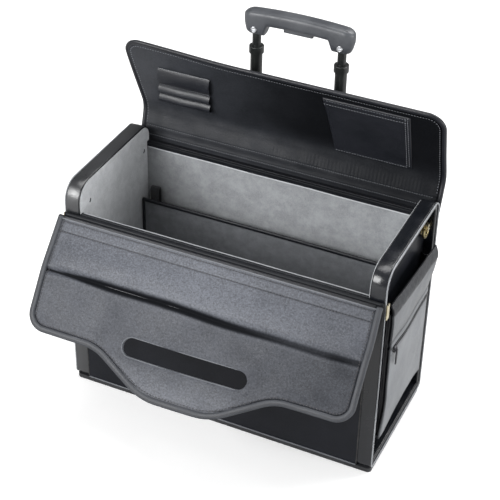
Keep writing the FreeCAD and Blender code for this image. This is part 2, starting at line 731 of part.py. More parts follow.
def make_carry_handle():
    """A padded bar on the rear flap's outer face, thicker in the middle, held by two metal ends."""
    face = -half_board
    reach = d.carry_half
    level = face - d.carry_rise
    thin = d.carry_radius - 1.5
    grip = new_body("carry_handle_grip")
    profile = sketch_on(grip, "XZ_Plane", -d.carry_s)
    draw_polygon(profile, [(-reach, level), (reach, level), (reach, level - thin),
                           (reach - 30, level - d.carry_radius), (-reach + 30, level - d.carry_radius),
                           (-reach, level - thin)])
    turned = grip.newObject("PartDesign::Revolution", "carry_turned")
    turned.Profile = profile
    turned.ReferenceAxis = (profile, ["Edge1"])
    turned.Angle = 360
    doc.recompute()
    soften(grip, dim(2.0), lambda p, e: e.Curve.TypeId == "Part::GeomCircle" and near(abs(p.x), reach))
    on_rear_panel(grip)
    end = slab("carry_end", reach + 0.5, reach + 16, d.carry_s - 9, d.carry_s + 9, face - 1.6, face)
    post_top = level - thin
    pad(end, "X", reach + 0.5, reach + 5,
        box_outline(d.carry_s - 6, d.carry_s + 6, post_top, face - 1.4))
    soften(end, dim(4.0), lambda p, e: runs_along(e, Vec(1, 0, 0)) and near(p.z, post_top))
    grouped_ends = grouped("carry_handle_ends", end, mirrored(end, "carry_end_left"))
    on_rear_panel(grouped_ends)


# --- combination locks ---------------------------------------------------------------------------

lock_foot = -half_board
lock_head = lock_foot - d.lock_rise
dial_level = lock_head - 1.6 + d.dial_radius
dial_row = d.lock_s - 3
bolt_low = lock_foot - 8.9


def lock_body():
    """A low housing on the rear flap's outer face, with three dial windows and a bolt channel."""
    left = d.lock_x - d.lock_half
    right = d.lock_x + d.lock_half
    near_side = d.lock_s - d.lock_deep
    far_side = d.lock_s + d.lock_deep
    shell = slab("right_lock_body", left, right, near_side, far_side, lock_head, lock_foot)
    soften(shell, dim(3.0), lambda p, e: runs_along(e, Vec(0, 0, 1)))
    soften(shell, dim(1.2), lambda p, e: near(p.z, lock_head))
    window = d.dial_radius + 0.4
    for row in (-1, 0, 1):
        middle = d.lock_x - 8 + row * d.dial_pitch
        cut(shell, "Z", lock_head - 0.1, dial_level + window,
            box_outline(middle - d.dial_width / 2 - 0.35, middle + d.dial_width / 2 + 0.35,
                        dial_row - window, dial_row + window))
    pad(shell, "X", d.lock_x - 8 - 1.6 * d.dial_pitch, d.lock_x - 8 + 1.6 * d.dial_pitch,
        disc_outline(dial_row, dial_level, d.dial_shaft))
    slot = d.lock_x + 12
    cut(shell, "Z", lock_head - 0.1, bolt_low + 0.2,
        box_outline(slot - 4.2, slot + 4.2, d.lock_s - 9.2, far_side + 0.1))
    return on_rear_panel(shell)


def lock_bolt():
    """The sliding button with the bolt that reaches over the front flap's edge."""
    slot = d.lock_x + 12
    start = d.lock_s - 9
    bolt = slab("right_lock_bolt", slot - 4, slot + 4, start, d.lock_s + d.lock_deep - 0.5,
                bolt_low - 2.2, bolt_low)
    pad(bolt, "Z", lock_head - 1.8, bolt_low - 2.0, box_outline(slot - 4, slot + 4, start, start + 9))
    soften(bolt, dim(0.8), lambda p, e: near(p.z, lock_head - 1.8))
    return on_rear_panel(bolt)


def lock_dial(label, row, side):
    """A number wheel with a grip notch between each pair of faces."""
    middle = side * (d.lock_x - 8 + row * d.dial_pitch)
    half = d.dial_width / 2
    wheel = pad(new_body(label), "X", middle - half, middle + half,
                ring_outline(0, 0, d.dial_shaft + d.dial_play, d.dial_radius))
    notch = sketch_on(wheel, "YZ_Plane", middle + half)
    draw_circle(notch, dim(0), d.dial_radius + 0.35, dim(0.8))
    groove = extrude(wheel, notch, d.dial_width, "Pocket")
    pattern = wheel.newObject("PartDesign::PolarPattern", label + "_notches")
    pattern.Originals = [groove]
    pattern.Axis = ([f for f in wheel.Origin.OriginFeatures if f.Role == "X_Axis"][0], [""])
    pattern.Angle = 360
    pattern.Occurrences = 10
    wheel.Tip = pattern
    doc.recompute()
    turn = d.rear_main_slope
    back = rear_crease_y + dial_row * cosine(turn) - dial_level * sine(turn)
    up = rear_crease_z + dial_row * sine(turn) + dial_level * cosine(turn)
    return put(wheel, 0, back, up, turn)


def make_locks():
    mirrored(lock_body(), "left_lock_body")
    mirrored(lock_bolt(), "left_lock_bolt")
    names = {-1: "inner", 0: "middle", 1: "outer"}
    for side, word in ((1, "right"), (-1, "left")):
        for row, place in names.items():
            lock_dial(word + "_lock_" + place + "_dial", row, side)
    upright = Vec(0, 0, 1)
    half_long, half_wide = 19, 9
    plates = (("lock_backing_plates", -half_board - d.plate_skin, -half_board),
              ("lock_hasp_plates", half_board, half_board + d.plate_skin))
    for label, low, high in plates:
        plate = slab(label + "_body", d.lock_x - half_long, d.lock_x + half_long,
                     d.hasp_s - half_wide, d.hasp_s + half_wide, low, high)
        soften(plate, dim(3.0), lambda p, e: runs_along(e, upright))
        on_front_panel(plate)
        pair(label, plate)


# --- pull handle ---------------------------------------------------------------------------------

def tube(label, low, high, outer, bore, collar_radius=None):
    """One telescopic tube at the right, with a collar at its top end."""
    shape = pad(new_body(label), "Z", low, high, ring_outline(d.tube_x, d.tube_y, bore, outer))
    if collar_radius is not None:
        pad(shape, "Z", high - d.collar, high, ring_outline(d.tube_x, d.tube_y, bore, collar_radius))
        soften(shape, dim(1.0), lambda p, e: near(p.z, high) and e.Curve.Radius > outer.value)
    return shape


def make_tubes():
    play = d.tube_play
    pair("trolley_outer_tubes", tube("fixed", d.tube_base, d.tube_top, tube_outer_fixed, tube_outer_one + play))
    pair("stage_one_tubes", tube("one", d.stage_one_low, d.stage_one_top, tube_outer_one,
                                 tube_outer_two + play, tube_outer_fixed))
    pair("stage_two_tubes", tube("two", d.stage_two_low, d.stage_two_top, tube_outer_two,
                                 d.grip_tube + play, tube_outer_one))
    pair("stage_three_tubes", tube("three", d.stage_three_low, d.grip_top - 10, d.grip_tube, d.grip_tube - 1.2))


def make_grip():
    half = d.grip_half
    grip = pad(new_body("trolley_grip"), "Y", d.grip_front, d.grip_back,
               box_outline(-half, half, d.grip_low, d.grip_top))
    inner = d.tube_x - d.grip_boss_half
    for low, high in ((inner, half), (-half, -inner)):
        pad(grip, "Y", d.grip_front, d.grip_back, box_outline(low, high, d.grip_boss, d.grip_low + 2))
    along_y = Vec(0, 1, 0)
    soften(grip, dim(9.0), lambda p, e: runs_along(e, along_y) and near(p.z, d.grip_top))
    soften(grip, dim(4.0), lambda p, e: runs_along(e, along_y) and near(p.z, d.grip_boss))
    soften(grip, dim(3.5), lambda p, e: near(p.y, d.grip_front) or near(p.y, d.grip_back))
    for side in (1, -1):
        cut(grip, "Z", d.grip_boss, d.grip_top - 10, disc_outline(side * d.tube_x, d.tube_y, d.grip_tube + 0.02))
        cut(grip, "Y", d.grip_front, d.grip_front + 2.0, disc_outline(side * d.tube_x, d.grip_screw, 3.9))
    reach = d.button_half
    cut(grip, "Z", d.grip_low, d.grip_low + 9, box_outline(-reach - 0.3, reach + 0.3, d.tube_y - 6.3, d.tube_y + 6.3))
    button = slab("release_button", -reach, reach, d.tube_y - 6, d.tube_y + 6, d.grip_low - 3.5, d.grip_low + 4.5)
    soften(button, dim(2.0), lambda p, e: runs_along(e, Vec(0, 0, 1)))
    soften(button, dim(1.0), lambda p, e: near(p.z, d.grip_low - 3.5))
    screw = pad(new_body("screw"), "Y", d.grip_front - 0.3, d.grip_front + 2.0,
                disc_outline(d.tube_x, d.grip_screw, 3.8))
    cut(screw, "Y", d.grip_front - 0.3, d.grip_front + 0.7,
        box_outline(d.tube_x - 2.6, d.tube_x + 2.6, d.grip_screw - 0.5, d.grip_screw + 0.5))
    pair("grip_screws", screw)


def make_top_bracket():
    """The moulded yoke that holds the fixed tubes off the rear wall."""
    low = d.tube_top - 26
    bracket = slab("trolley_top_bracket", -92, 92, d.half_depth, d.half_depth + 4, low - 6, d.tube_top - 2)
    for side in (1, -1):
        middle = side * d.tube_x
        pad(bracket, "Z", low, d.tube_top,
            box_outline(middle - 17, middle + 17, d.half_depth + 3.5, d.tube_y + 15))
    pad(bracket, "Z", low + 6, d.tube_top - 6, box_outline(-50, 50, d.tube_y - 6, d.tube_y + 7))
    soften(bracket, dim(6.0), lambda p, e: runs_along(e, Vec(0, 0, 1)) and p.y > d.tube_y.value + 14)
    for side in (1, -1):
        cut(bracket, "Z", low, d.tube_top, disc_outline(side * d.tube_x, d.tube_y, tube_outer_fixed))


def make_base_frame():
    """The moulded cross-member under the tubes with a forked housing for each wheel."""
    rear = d.half_depth
    frame = slab("trolley_base_frame", -204, 204, rear, rear + 2.5, 14, 78)
    foot = d.tube_base - 14
    for side in (1, -1):
        middle = side * d.tube_x
        pad(frame, "Z", foot, d.tube_base + 20, box_outline(middle - 17, middle + 17, rear + 2, d.tube_y + 15))
        soften(frame, dim(6.0), lambda p, e: runs_along(e, Vec(0, 0, 1)) and p.y > d.tube_y.value + 14
               and p.x * side > 0 and abs(p.x - middle.value) < 18)
        cut(frame, "Z", d.tube_base, d.tube_base + 20, disc_outline(middle, d.tube_y, tube_outer_fixed))
    gap = d.wheel_half + 0.5
    roof = d.wheel_radius * 2 + 3
    back = d.wheel_y + 18
    profile = [(rear + 2, dim(16)), (d.wheel_y - 8, dim(14)), (d.wheel_y + 8, dim(14)), (back, dim(26)),
               (back, roof), (back - 8, roof + 5), (rear + 2, roof + 10)]
    for side in (1, -1):
        for edge in (1, -1):
            near_face = side * d.wheel_x + edge * gap
            far_face = near_face + edge * d.cheek
            low, high = (near_face, far_face) if edge > 0 else (far_face, near_face)
            pad(frame, "X", low, high, lambda s: draw_polygon(s, profile))
        roof_profile = [(rear + 2, roof), (back, roof), (back - 8, roof + 5), (rear + 2, roof + 10)]
        pad(frame, "X", side * d.wheel_x - gap - 0.5, side * d.wheel_x + gap + 0.5,
            lambda s: draw_polygon(s, roof_profile))
        reach = gap + d.cheek
        cut(frame, "X", side * d.wheel_x - reach, side * d.wheel_x + reach,
            disc_outline(d.wheel_y, d.wheel_radius, d.axle_radius))


def make_wheels():
    half = d.wheel_half
    rim = d.hub_radius
    left = d.wheel_x - half
    right = d.wheel_x + half
    bore = d.axle_radius + d.axle_play
    hub = pad(new_body("right_wheel_hub"), "X", left, right,
              ring_outline(d.wheel_y, d.wheel_radius, bore, rim))
    for low, high in ((left, left + 4), (right - 4, right)):
        cut(hub, "X", low, high, ring_outline(d.wheel_y, d.wheel_radius, dim(8.0), rim - 3))
    tyre = pad(new_body("right_tyre"), "X", left, right,
               ring_outline(d.wheel_y, d.wheel_radius, rim, d.wheel_radius))
    soften(tyre, dim(3.0), lambda p, e: e.Curve.TypeId == "Part::GeomCircle"
           and near(e.Curve.Radius, d.wheel_radius))
    mirrored(hub, "left_wheel_hub")
    mirrored(tyre, "left_tyre")
    reach = half + 0.5 + d.cheek
    pin_body = pad(new_body("axle"), "X", d.wheel_x - reach - 1, d.wheel_x + reach + 1,
                   disc_outline(d.wheel_y, d.wheel_radius, d.axle_radius))
    soften(pin_body, dim(0.8), lambda p, e: e.Curve.TypeId == "Part::GeomCircle", "Chamfer")
    pair("wheel_axles", pin_body)


# --- assembly and export -------------------------------------------------------------------------

NODES = [
    "base_board", "front_wall", "rear_wall", "end_boards", "end_rims", "rim_pipings",
    "end_linings", "wall_linings", "front_top_rail", "rear_top_rail", "base_skid_frame",
    "divider_pocket", "retaining_strap", "left_pocket_panel", "right_pocket_panel",
    "pocket_gussets", "pocket_zip_tapes", "left_zip_slider", "right_zip_slider",
    "end_fitting_plates", "left_d_ring", "right_d_ring",
    "front_flap_hinge_strip", "front_flap_fold", "front_flap_panel", "front_flap_binding",
    "left_lock_body", "right_lock_body", "left_lock_inner_dial", "left_lock_middle_dial",
    "left_lock_outer_dial", "right_lock_inner_dial", "right_lock_middle_dial",
    "right_lock_outer_dial", "left_lock_bolt", "right_lock_bolt", "lock_backing_plates",
    "lock_hasp_plates", "rear_flap_hinge_strip", "rear_flap_fold", "rear_flap_panel",
    "rear_flap_binding", "pen_loops", "card_pocket", "carry_handle_grip", "carry_handle_ends",
    "trolley_outer_tubes", "trolley_top_bracket", "trolley_base_frame", "stage_one_tubes",
    "stage_two_tubes", "stage_three_tubes", "trolley_grip", "grip_screws", "release_button",
    "left_wheel_hub", "right_wheel_hub", "left_tyre", "right_tyre", "wheel_axles",
]


def build():
    make_box()
    make_linings()
    make_rail("front_top_rail", -d.half_depth, -wall_inner + d.felt, d.front_top, d.rail_drop)
    make_rail("rear_top_rail", d.half_depth, wall_inner - d.felt, d.rear_top, d.rear_rail_drop)
    make_skid()
    make_divider()
    make_strap()
    make_pockets()
    make_zips()
    make_d_ring(make_end_fittings())
    make_front_flap()
    make_rear_flap()
    make_organiser()
    make_carry_handle()
    make_locks()
    make_tubes()
    make_grip()
    make_top_bracket()
    make_base_frame()
    make_wheels()


def write_parts():
    """Check every object and write one file for each node."""
    doc.recompute()
    broken = [o.Label for o in doc.Objects if set(o.State) & {"Invalid", "Error"}]
    if broken:
        raise ValueError("broken objects: " + ", ".join(broken))
    os.makedirs("parts", exist_ok=True)
    for node in NODES:
        found = doc.getObjectsByLabel(node)
        if len(found) != 1:
            raise ValueError(node + ": expected one object with this label")
        shape = found[0].Shape
        if shape.isNull() or not shape.isValid() or not shape.Solids:
            raise ValueError(node + ": its shape is not a valid solid")
        shape.exportStep("parts/" + node + ".step")


build()
write_parts()
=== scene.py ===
import math

import bmesh
import bpy
import numpy as np
from mathutils import Matrix, Vector


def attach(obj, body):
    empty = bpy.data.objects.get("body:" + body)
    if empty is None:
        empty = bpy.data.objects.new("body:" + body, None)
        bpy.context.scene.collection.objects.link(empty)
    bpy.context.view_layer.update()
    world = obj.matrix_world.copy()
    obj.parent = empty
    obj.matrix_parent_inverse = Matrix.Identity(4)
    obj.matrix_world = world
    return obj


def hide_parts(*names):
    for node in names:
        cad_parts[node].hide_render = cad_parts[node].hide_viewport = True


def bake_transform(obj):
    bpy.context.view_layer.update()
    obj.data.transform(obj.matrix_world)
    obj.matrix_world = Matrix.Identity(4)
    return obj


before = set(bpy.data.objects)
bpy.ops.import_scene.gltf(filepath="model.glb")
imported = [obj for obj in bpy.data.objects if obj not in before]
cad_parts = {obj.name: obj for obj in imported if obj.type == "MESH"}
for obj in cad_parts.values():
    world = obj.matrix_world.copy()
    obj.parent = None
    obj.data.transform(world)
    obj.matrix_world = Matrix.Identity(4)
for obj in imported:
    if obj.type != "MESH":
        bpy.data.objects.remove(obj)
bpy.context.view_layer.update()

# Sizes are in millimetres from the floor under the middle: X to the right, Y to the back, Z up.
MM = 0.001
SIDES = ((1, "right"), (-1, "left"))


# --- small maths ---

def ease(low, high, value):
    """Smooth step from 0 at low to 1 at high."""
    t = np.clip((np.asarray(value, float) - low) / (high - low), 0, 1)
    return t * t * (3 - 2 * t)


def ripples(u, v, seed, longest, shortest, count=9):
    """Smooth wandering height between about -1 and 1, built from a few fixed waves."""
    rng = np.random.RandomState(seed)
    total = np.zeros(np.broadcast(u, v).shape)
    weight = 0
    for k in range(count):
        length = longest * (shortest / longest) ** (k / max(count - 1, 1))
        heading, phase = rng.uniform(0, 2 * math.pi, 2)
        share = (length / longest) ** 0.7
        along = u * math.cos(heading) + v * math.sin(heading)
        total += share * np.sin(along * 2 * math.pi / length + phase)
        weight += share * share
    return total / math.sqrt(weight) / 1.4


def unit(v):
    v = np.asarray(v, float)
    return v / np.maximum(np.linalg.norm(v, axis=-1, keepdims=True), 1e-12)


def track(*axes):
    """Points from coordinate arrays and constants."""
    return np.stack(np.broadcast_arrays(*axes), -1).astype(float)


def dent(distance, width):
    """A smooth bump of height 1 around distance 0."""
    return np.exp(-(distance / width) ** 2)


def round_path(points, radii, arc_points=12):
    """A chain of straight lines with its corners rounded; a radius of 0 keeps the corner."""
    points = [np.array(p, float) for p in points]
    out = [points[0]]
    for before, here, after, radius in zip(points, points[1:], points[2:], radii):
        if radius <= 0:
            out.append(here)
            continue
        a, b = unit(before - here), unit(after - here)
        half = math.acos(np.clip(a @ b, -1, 1)) / 2
        reach = radius / math.tan(half)
        start, end = here + a * reach, here + b * reach
        centre = here + unit(a + b) * radius / math.sin(half)
        p, q = start - centre, end - centre
        turn = math.acos(np.clip(p @ q / radius ** 2, -1, 1))
        for k in range(arc_points + 1):
            f = k / arc_points
            out.append(centre + (math.sin((1 - f) * turn) * p + math.sin(f * turn) * q) / math.sin(turn))
    out.append(points[-1])
    return np.array(out)


def resample(path, step, closed=False):
    path = np.asarray(path, float)
    if closed:
        path = np.vstack([path, path[:1]])
    lengths = np.linalg.norm(np.diff(path, axis=0), axis=1)
    along = np.concatenate([[0], np.cumsum(lengths)])
    count = max(2, int(round(along[-1] / step)))
    spots = np.linspace(0, along[-1], count + 1)
    if closed:
        spots = spots[:-1]
    return np.stack([np.interp(spots, along, path[:, k]) for k in range(path.shape[1])], 1)


# --- mesh building ---

def piece(name, verts, faces, material, body=None, nodes=(), slot=None, angle=None):
    """A mesh that rides a body and stands in for CAD nodes; its slot argument, a material slot of the record,
    is not used.
    """
    mesh = bpy.data.meshes.new(name)
    mesh.from_pydata((np.asarray(verts, float) * MM).tolist(), [], [list(map(int, f)) for f in faces])
    mesh.validate()
    tidy = bmesh.new()
    tidy.from_mesh(mesh)
    bmesh.ops.recalc_face_normals(tidy, faces=tidy.faces)
    tidy.to_mesh(mesh)
    tidy.free()
    mesh.polygons.foreach_set("use_smooth", [True] * len(mesh.polygons))
    if angle is not None:
        mesh.set_sharp_from_angle(angle=math.radians(angle))
    thing = bpy.data.objects.new(name, mesh)
    bpy.context.scene.collection.objects.link(thing)
    mesh.materials.append(material)
    if body:
        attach(thing, body)
    if nodes:
        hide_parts(*nodes)
    return thing


class Pile:
    """Collects several closed shapes into one mesh."""

    def __init__(self):
        self.verts, self.faces = [], []

    def add(self, verts, faces):
        start = len(self.verts)
        self.verts += [tuple(v) for v in verts]
        self.faces += [[i + start for i in f] for f in faces]

    def make(self, name, material, body=None, nodes=(), slot=None, angle=None):
        return piece(name, np.array(self.verts), self.faces, material, body, nodes, slot, angle)


def sheet(points, normals, over, under, kept=None, shade=None):
    """A thick sheet on a grid of points: over and under are its thickness on each side."""
    rows, cols = points.shape[:2]
    normals = np.broadcast_to(normals, points.shape).astype(float)
    over, under = np.broadcast_to(over, (rows, cols)), np.broadcast_to(under, (rows, cols))
    top = points + normals * over[..., None]
    bottom = points - normals * under[..., None]
    kept = np.ones((rows - 1, cols - 1), bool) if kept is None else kept
    number = np.arange(rows * cols).reshape(rows, cols)
    shift = rows * cols
    quads = np.stack([number[:-1, :-1], number[:-1, 1:], number[1:, 1:], number[1:, :-1]], -1)
    faces = quads[kept].tolist() + (quads[kept][:, ::-1] + shift).tolist()
    padded = np.pad(kept, 1)
    sides = (((-1, 0), (0, 1)), ((0, 1), (1, 2)), ((1, 0), (2, 3)), ((0, -1), (3, 0)))
    for (di, dj), (a, b) in sides:
        open_side = kept & ~padded[1 + di:1 + di + rows - 1, 1 + dj:1 + dj + cols - 1]
        for quad in quads[open_side]:
            faces.append([quad[b], quad[a], quad[a] + shift, quad[b] + shift])
    verts = np.concatenate([top.reshape(-1, 3), bottom.reshape(-1, 3)])
    used = np.unique(np.concatenate([np.asarray(f) for f in faces]))
    lookup = np.full(len(verts), -1)
    lookup[used] = np.arange(len(used))
    if shade is None:
        return verts[used], [lookup[f] for f in faces]
    tone = np.concatenate([np.broadcast_to(shade, (rows, cols)).ravel(), np.zeros(shift)])
    return verts[used], [lookup[f] for f in faces], tone[used]


def mark(thing, tone):
    """Stores each point's painted shade, the shade in creases and in seam and stitch grooves and painted
    light and shade across a surface, for the finish to darken.
    """
    field = thing.data.attributes.new("shade", "FLOAT", "POINT")
    field.data.foreach_set("value", np.asarray(tone, np.float32))


def edge_distance(x, s, outline):
    """How far each grid point lies from an outline."""
    points = np.stack([x.ravel(), s.ravel()], 1)
    best = np.full(len(points), 1e9)
    for spot in outline[::2]:
        best = np.minimum(best, np.hypot(points[:, 0] - spot[0], points[:, 1] - spot[1]))
    return best.reshape(x.shape)


def sweep(path, ups, profile, closed=False, scale=None):
    """A solid swept along a path; the profile is a closed ring of (side, up) offsets."""
    path, profile = np.asarray(path, float), np.asarray(profile, float)
    tangent = unit(np.roll(path, -1, 0) - np.roll(path, 1, 0) if closed else np.gradient(path, axis=0))
    side = unit(np.cross(tangent, np.broadcast_to(ups, path.shape)))
    up = unit(np.cross(side, tangent))
    offsets = side[:, None] * profile[None, :, :1] + up[:, None] * profile[None, :, 1:]
    if scale is not None:
        offsets *= scale[:, None, None]
    return skin(path[:, None] + offsets, closed)


def skin(rings, closed=False):
    """Vertices and faces of a solid through rings of the same size, with its ends capped."""
    n, k = rings.shape[:2]
    faces = []
    for i in range(n if closed else n - 1):
        j = (i + 1) % n
        faces += [[i * k + a, i * k + (a + 1) % k, j * k + (a + 1) % k, j * k + a] for a in range(k)]
    if not closed:
        faces += [list(range(k))[::-1], [(n - 1) * k + a for a in range(k)]]
    return rings.reshape(-1, 3), faces


def bar(name, path, ups, profile, material, body=None, nodes=(), slot=None, angle=None, **options):
    """A piece swept along a path."""
    verts, faces = sweep(path, ups, profile, **options)
    return piece(name, verts, faces, material, body, nodes, slot, angle)


def oval(width, height, count=12, power=2.0):
    """A rounded section; a higher power makes it squarer."""
    a = np.linspace(0, 2 * math.pi, count, endpoint=False)
    c, s = np.cos(a), np.sin(a)
    return np.stack([np.sign(c) * np.abs(c) ** (2 / power) * width / 2,
                     np.sign(s) * np.abs(s) ** (2 / power) * height / 2], 1)


def rounded_box(low, high, radius, steps=3):
    """A box with rounded edges and corners, as a shaped grid on six sides."""
    low, high = np.array(low, float), np.array(high, float)
    radius = min(radius, *((high - low) / 2 - 1e-3))
    verts, faces, ticks = [], [], []
    for k in range(3):
        arc = radius * (1 - np.cos(np.linspace(0, math.pi / 2, steps + 1)))
        ticks.append(np.concatenate([low[k] + arc, (high[k] - arc)[::-1]]))
    for axis in range(3):
        u, v = (axis + 1) % 3, (axis + 2) % 3
        for end in (0, 1):
            uu, vv = np.meshgrid(ticks[u], ticks[v], indexing="ij")
            grid = np.zeros(uu.shape + (3,))
            grid[..., u], grid[..., v] = uu, vv
            grid[..., axis] = high[axis] if end else low[axis]
            inner = np.clip(grid, low + radius, high - radius)
            grid = inner + unit(grid - inner) * radius
            start = len(verts)
            verts += grid.reshape(-1, 3).tolist()
            n, m = uu.shape
            for i in range(n - 1):
                for j in range(m - 1):
                    near, far = start + i * m + j, start + (i + 1) * m + j
                    q = [near, far, far + 1, near + 1]
                    faces.append(q if end else q[::-1])
    return verts, faces


def stitches(pile, path, ups, pitch=3.6, length=2.5, radius=0.42, sink=0.1):
    """Short thread stitches along a path on a surface."""
    path = np.asarray(path, float)
    ups = np.broadcast_to(ups, path.shape)
    spots = resample(np.hstack([path, ups]), pitch)
    centre, up = spots[:, :3], unit(spots[:, 3:])
    heading = unit(np.gradient(centre, axis=0))
    across = unit(np.cross(heading, up))
    ring = [(math.cos(a), math.sin(a)) for a in np.linspace(0, 2 * math.pi, 6, endpoint=False)]
    spans = ((-0.5, 0.35, -0.6), (-0.3, 1.0, 0.0), (0.3, 1.0, 0.0), (0.5, 0.35, -0.6))
    for p, h, a, n in zip(centre[:-1], heading, across, up):
        verts = []
        for reach, size, drop in spans:
            middle = p + h * reach * length + n * (drop * radius - sink)
            verts += [middle + a * radius * size * c + n * radius * size * s for c, s in ring]
        faces = [[6 * k + i, 6 * k + (i + 1) % 6, 6 * k + 6 + (i + 1) % 6, 6 * k + 6 + i]
                 for k in range(3) for i in range(6)]
        faces += [[5, 4, 3, 2, 1, 0], [18, 19, 20, 21, 22, 23]]
        pile.add(verts, faces)


# --- materials ---

class Paint:
    """A node material built up a layer at a time."""

    def __init__(self, name):
        self.material = bpy.data.materials.new(name)
        self.material.use_nodes = True
        self.tree = self.material.node_tree
        self.shader = self.tree.nodes["Principled BSDF"]
        self.coords = self.node("ShaderNodeTexCoord").outputs["Object"]
        self.relief = None

    def node(self, kind, **values):
        made = self.tree.nodes.new(kind)
        for key, value in values.items():
            if hasattr(made, key):
                setattr(made, key, value)
            else:
                made.inputs[key.replace("_", " ")].default_value = value
        return made

    def link(self, a, b):
        self.tree.links.new(a, b)

    def texture(self, kind, stretch=(1, 1, 1), **values):
        mapping = self.node("ShaderNodeMapping", Scale=stretch)
        self.link(self.coords, mapping.inputs["Vector"])
        made = self.node(kind, **values)
        self.link(mapping.outputs["Vector"], made.inputs["Vector"])
        return made.outputs

    def noise(self, size_mm, detail=3.0, rough=0.55, stretch=(1, 1, 1)):
        return self.texture("ShaderNodeTexNoise", stretch, Scale=1 / (size_mm * MM),
                            Detail=detail, Roughness=rough)["Fac"]

    def cells(self, size_mm):
        return self.texture("ShaderNodeTexVoronoi", Scale=1 / (size_mm * MM))["Distance"]

    def curve(self, value, low, high, out_low=0.0, out_high=1.0):
        made = self.node("ShaderNodeMapRange", interpolation_type="SMOOTHSTEP", From_Min=low, From_Max=high,
                         To_Min=out_low, To_Max=out_high)
        self.link(value, made.inputs["Value"])
        return made.outputs["Result"]

    def mix(self, factor, a, b):
        made = self.node("ShaderNodeMix", data_type="RGBA")
        for spot, colour in ((6, a), (7, b)):
            if isinstance(colour, (tuple, list)):
                made.inputs[spot].default_value = (*colour, 1)
            else:
                self.link(colour, made.inputs[spot])
        self.link(factor, made.inputs[0])
        return made.outputs[2]

    def set(self, **values):
        for key, value in values.items():
            socket = self.shader.inputs[key.replace("_", " ")]
            if isinstance(value, bpy.types.NodeSocket):
                self.link(value, socket)
            else:
                socket.default_value = value

    def bump(self, height, depth_mm, strength=1.0):
        made = self.node("ShaderNodeBump", Strength=strength, Distance=depth_mm * MM)
        self.link(height, made.inputs["Height"])
        if self.relief is not None:
            self.link(self.relief, made.inputs["Normal"])
        self.relief = made.outputs["Normal"]
        self.link(self.relief, self.shader.inputs["Normal"])


def scaled(colour, factor):
    return tuple(min(1, c * factor) for c in colour)


def leather(name, dark, light, rough, grain, depth, cloud, shine, crease=0.0, mottle=0.0):
    """Coated leather-look sheet: pebble grain, faint clouding and a few fine creases, with painted shade from
    each point's shade attribute darkening the colour and dimming the shine.
    """
    p = Paint(name)
    clouds = p.curve(p.noise(cloud, 4.0, 0.6), 0.3, 0.72)
    speck = p.curve(p.noise(2.2, 3.0), 0.35, 0.7)
    tone = p.mix(clouds, dark, light)
    tone = p.mix(p.curve(p.cells(grain), 0.05, 0.5, 0.0, 0.35), tone, scaled(dark, 0.72))
    if mottle:
        flecks = p.curve(p.noise(2.4, 4.0, 0.7), 0.40, 0.66, 0.0, mottle)
        tone = p.mix(flecks, tone, scaled(light, 1.5))
        pits = p.curve(p.noise(3.4, 3.0, 0.65, (1, 1.6, 1)), 0.50, 0.68, 0.0, mottle)
        tone = p.mix(pits, tone, scaled(dark, 0.45))
    # Painted shade: the shade attribute darkens the colour towards near-black and takes the shine away.
    painted_shade = p.node("ShaderNodeAttribute", attribute_name="shade")
    tone = p.mix(painted_shade.outputs["Fac"], tone, scaled(dark, 0.12))
    p.set(Base_Color=tone)
    p.set(Roughness=p.curve(p.noise(cloud * 0.5, 3.0), 0.25, 0.8, rough - 0.07, rough + 0.08))
    p.set(Specular_IOR_Level=p.curve(painted_shade.outputs["Fac"], 0.0, 1.0, shine, 0.02))
    p.bump(p.cells(grain), depth * 0.9, 0.8)
    p.bump(p.noise(grain * 2.6, 4.0), depth * 1.6, 0.7)
    p.bump(speck, 0.05, 0.5)
    if crease:
        p.bump(p.noise(26, 5.0, 0.65), crease)
    return p.material


def felt(name, dark, light):
    p = Paint(name)
    fuzz = p.noise(0.9, 5.0, 0.7)
    patch = p.curve(p.noise(14, 5.0, 0.65), 0.3, 0.75)
    tone = p.mix(patch, dark, light)
    tone = p.mix(p.curve(fuzz, 0.35, 0.7, 0.0, 0.45), tone, scaled(light, 1.35))
    p.set(Base_Color=tone)
    p.set(Roughness=0.95, Specular_IOR_Level=0.15, Sheen_Weight=0.6, Sheen_Roughness=0.5)
    p.bump(fuzz, 0.35, 0.8)
    p.bump(p.noise(5, 4.0), 0.5, 0.5)
    return p.material


def woven(name, dark, light, pitch=0.9):
    p = Paint(name)
    both = p.node("ShaderNodeMath", operation="MULTIPLY")
    for spot, axis in enumerate("XZ"):
        wave = p.node("ShaderNodeTexWave", wave_type="BANDS", bands_direction=axis, wave_profile="SIN",
                      Scale=0.314 / (pitch * MM), Distortion=0.4)
        p.link(p.coords, wave.inputs["Vector"])
        p.link(wave.outputs["Fac"], both.inputs[spot])
    weave = both.outputs[0]
    tone = p.mix(p.curve(p.noise(20, 4.0), 0.3, 0.7), dark, light)
    tone = p.mix(p.curve(weave, 0.1, 0.7, 0.0, 0.6), tone, scaled(light, 1.8))
    p.set(Base_Color=tone)
    p.set(Roughness=0.8, Sheen_Weight=0.3, Specular_IOR_Level=0.3)
    p.bump(weave, 0.3, 0.8)
    p.bump(p.noise(3, 4.0), 0.2, 0.6)
    return p.material


def plastic(name, dark, light, rough, grain, depth):
    p = Paint(name)
    p.set(Base_Color=p.mix(p.curve(p.noise(30, 4.0), 0.3, 0.7), dark, light))
    p.set(Roughness=p.curve(p.noise(9, 4.0), 0.3, 0.75, rough - 0.06, rough + 0.08))
    p.bump(p.noise(grain, 3.0), depth, 0.7)
    p.bump(p.noise(18, 2.0), 0.12, 0.25)
    return p.material


def metal(name, dark, light, rough, brushed=(1, 1, 1)):
    p = Paint(name)
    p.set(Base_Color=p.mix(p.curve(p.noise(8, 4.0), 0.35, 0.7), dark, light))
    p.set(Metallic=1.0, Roughness=p.curve(p.noise(4, 5.0), 0.3, 0.75, rough - 0.06, rough + 0.1))
    p.bump(p.noise(0.6, 3.0, 0.6, brushed), 0.03, 0.4)
    return p.material


